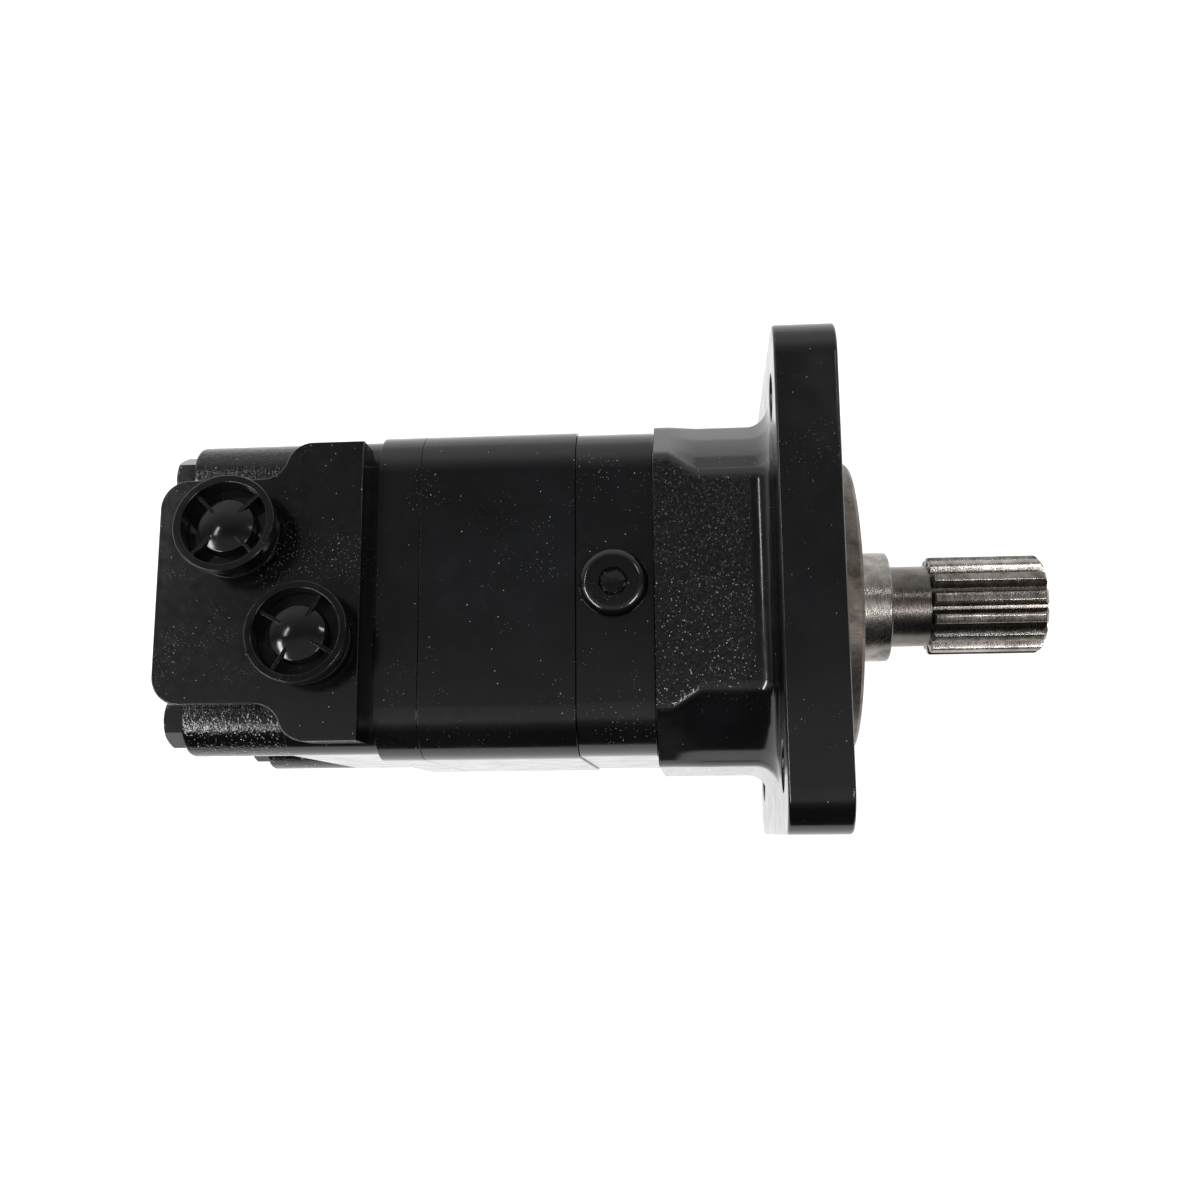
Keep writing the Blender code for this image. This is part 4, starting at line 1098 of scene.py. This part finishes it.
def socket_radii(angles):
    """The straight-sided splines that take the main drive."""
    pitch = 2 * math.pi / SOCKET_TEETH
    radii = []
    for angle in angles:
        off = across_tooth(angle, pitch)
        t = min(max((off - SOCKET_ROOT_SHARE) / SOCKET_FLANK_SHARE, 0), 1)
        radii.append(SOCKET_ROOT_R + (SOCKET_TIP_R - SOCKET_ROOT_R) * t)
    return radii


def output_shaft():
    low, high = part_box("output_shaft")
    angles = even_angles(24 * SPLINE_TEETH)
    end, start, ledge = high.x, SPLINE_START, SHAFT_SHOULDER_END
    spline = spline_radii(angles)
    chamfer, fall = SPLINE_CHAMFER
    stations = [(end, 0.0030), (end, 0.0060)]
    for step in range(4):
        t = step / 3
        cone = SPLINE_TIP_R - fall + fall * math.sin(t * math.pi / 2)
        stations.append((end - chamfer * t, np.minimum(spline, cone)))
    neck = SPLINE_ROOT_R - 0.0001
    stations += [
        (start + 0.0008, spline),
        (start + 0.0003, np.minimum(spline, SPLINE_TIP_R - 0.0004)),
        (start, np.minimum(spline, SPLINE_ROOT_R + 0.0003)),
        (start - 0.0002, neck),
        (ledge + 0.0006, neck),
        (ledge + 0.0002, neck + 0.0002),
        (ledge, neck + 0.0006),
    ]
    for step in range(4):
        t = math.pi / 2 * step / 3
        radius = SHAFT_R - SHAFT_EASE + SHAFT_EASE * math.sin(t)
        stations.append((ledge - SHAFT_EASE * (1 - math.cos(t)), radius))
    stations += [
        (COLLAR_FRONT, SHAFT_R),
        (COLLAR_FRONT, COLLAR_R),
        (COLLAR_REAR, COLLAR_R),
        (COLLAR_REAR, REAR_SEAT_R),
        (REAR_SEAT_END, REAR_SEAT_R),
        (REAR_SEAT_END, NUT_THREAD_R),
        (low.x, NUT_THREAD_R),
    ]
    shaft = polar_loft("output_shaft_body", angles, stations)
    socket = socket_radii(angles)
    bore = polar_loft(
        "shaft_socket",
        angles,
        [
            (low.x - PAST, socket),
            (SHAFT_SPLINE_END, socket),
            (SHAFT_SPLINE_END, SHAFT_BORE_R),
            (SHAFT_BORE_END, SHAFT_BORE_R),
        ],
    )
    cut(shaft, bore)
    finish_piece(shaft, "shaft", STEEL, ["output_shaft"], 30)


def port_places():
    """The centre of each port's opening."""
    openings = frame["record"]["physics"]["openings"]
    boxes = {opening["name"]: opening["box_m"] for opening in openings}
    ports = [boxes[f"port_{n}_bore"] for n in (1, 2)]
    return [((low[0] + high[0]) / 2, (low[1] + high[1]) / 2) for low, high in ports]


PORT_PLACES = port_places()
front_casting()
pilot_disc()
spacer_plate()
drain_plug()
geroler_ring()
channel_plate()
valve_housing()
tie_bolts()
port_cap(1)
port_cap(2)
output_shaft()

STEEL_NODES = ("main_drive", "valve_drive", "shaft_nut", "drive_spacer")
for name, node in frame["nodes"].items():
    look = RUBBER if name.endswith("_seal") else STEEL if name in STEEL_NODES else GROUND
    for slot in node.material_slots:
        slot.material = look


# Floor, lights and camera


def floor():
    """A glowing white sheet. It ends on the -Y side, so that the lower flank mirrors the dark."""
    work = bmesh.new()
    bmesh.ops.create_grid(work, x_segments=24, y_segments=24, size=FLOOR_HALF)
    mesh = bpy.data.meshes.new("floor")
    work.to_mesh(mesh)
    work.free()
    place = Matrix.Translation((0, FLOOR_MIDDLE, cad_bounds[0][2] - FLOOR_DROP))
    obj = new_object("floor", mesh, place)
    look = Look("pale_floor", (0.9, 0.9, 0.9), 0.6)
    tone = look.spread(look.noise(3, 3.0), 0.3, 0.7)
    look.send("Base Color", look.blend(tone, (0.28, 0.28, 0.28), (0.30, 0.30, 0.30)))
    look.shader.inputs["Emission Color"].default_value = (1, 1, 1, 1)
    look.shader.inputs["Emission Strength"].default_value = FLOOR_GLOW
    obj.data.materials.append(look.material)


def softbox(name, place, size, power):
    data = bpy.data.lights.new(name, "AREA")
    data.shape = "RECTANGLE"
    data.size, data.size_y = size
    data.energy = power
    obj = new_object(name, data)
    obj.location = place
    obj.rotation_euler = (SOFTBOX_AIM - Vector(place)).to_track_quat("-Z", "Y").to_euler()


def world():
    """A studio whose light depends on the bearing round the shaft axis, from straight overhead.

    A dim panel hangs over the motor, a white sweep stands on the +Y side, and -Y is dark.
    """
    made = bpy.data.worlds.new("studio")
    made.use_nodes = True
    tree = made.node_tree
    studio = tree.nodes["Background"]
    pale = tree.nodes.new("ShaderNodeBackground")
    pale.inputs["Color"].default_value = (BACKDROP, BACKDROP, BACKDROP, 1)
    aim = tree.nodes.new("ShaderNodeTexCoord")
    parts = tree.nodes.new("ShaderNodeSeparateXYZ")
    tree.links.new(aim.outputs["Generated"], parts.inputs[0])
    bearing = tree.nodes.new("ShaderNodeMath")
    bearing.operation = "ARCTAN2"
    tree.links.new(parts.outputs["Y"], bearing.inputs[0])
    tree.links.new(parts.outputs["Z"], bearing.inputs[1])
    place = tree.nodes.new("ShaderNodeMapRange")
    place.inputs["From Min"].default_value = -math.pi / 2
    place.inputs["From Max"].default_value = math.pi / 2
    tree.links.new(bearing.outputs[0], place.inputs["Value"])
    ramp = tree.nodes.new("ShaderNodeValToRGB")
    tree.links.new(place.outputs["Result"], ramp.inputs[0])
    stops = [(angle / math.pi + 0.5, level) for angle, level in SKY]
    band = ramp.color_ramp.elements
    band[0].position, band[1].position = stops[0][0], stops[-1][0]
    for where, _ in stops[1:-1]:
        band.new(where)
    for stop, (_, level) in zip(band, stops):
        stop.color = (*[level * tint for tint in SKY_TINT], 1)
    tree.links.new(ramp.outputs["Color"], studio.inputs["Color"])
    sight = tree.nodes.new("ShaderNodeLightPath")
    mix = tree.nodes.new("ShaderNodeMixShader")
    tree.links.new(sight.outputs["Is Camera Ray"], mix.inputs[0])
    tree.links.new(studio.outputs[0], mix.inputs[1])
    tree.links.new(pale.outputs[0], mix.inputs[2])
    tree.links.new(mix.outputs[0], tree.nodes["World Output"].inputs[0])
    bpy.context.scene.world = made


def camera():
    data = bpy.data.cameras.new("camera")
    data.lens = CAMERA_LENS
    data.sensor_width = CAMERA_SENSOR
    data.clip_start = 0.01
    data.clip_end = 50
    back = CAMERA_RIGHT.cross(CAMERA_UP).normalized()
    up = back.cross(CAMERA_RIGHT).normalized()
    matrix = Matrix((CAMERA_RIGHT, up, back)).transposed().to_4x4()
    matrix.translation = CAMERA_PLACE
    bpy.context.scene.camera = new_object("camera", data, matrix)


floor()
world()
camera()
for name, (place, size, power) in SOFTBOXES.items():
    softbox(name, place, size, power)
bpy.context.scene.view_settings.view_transform = "Standard"
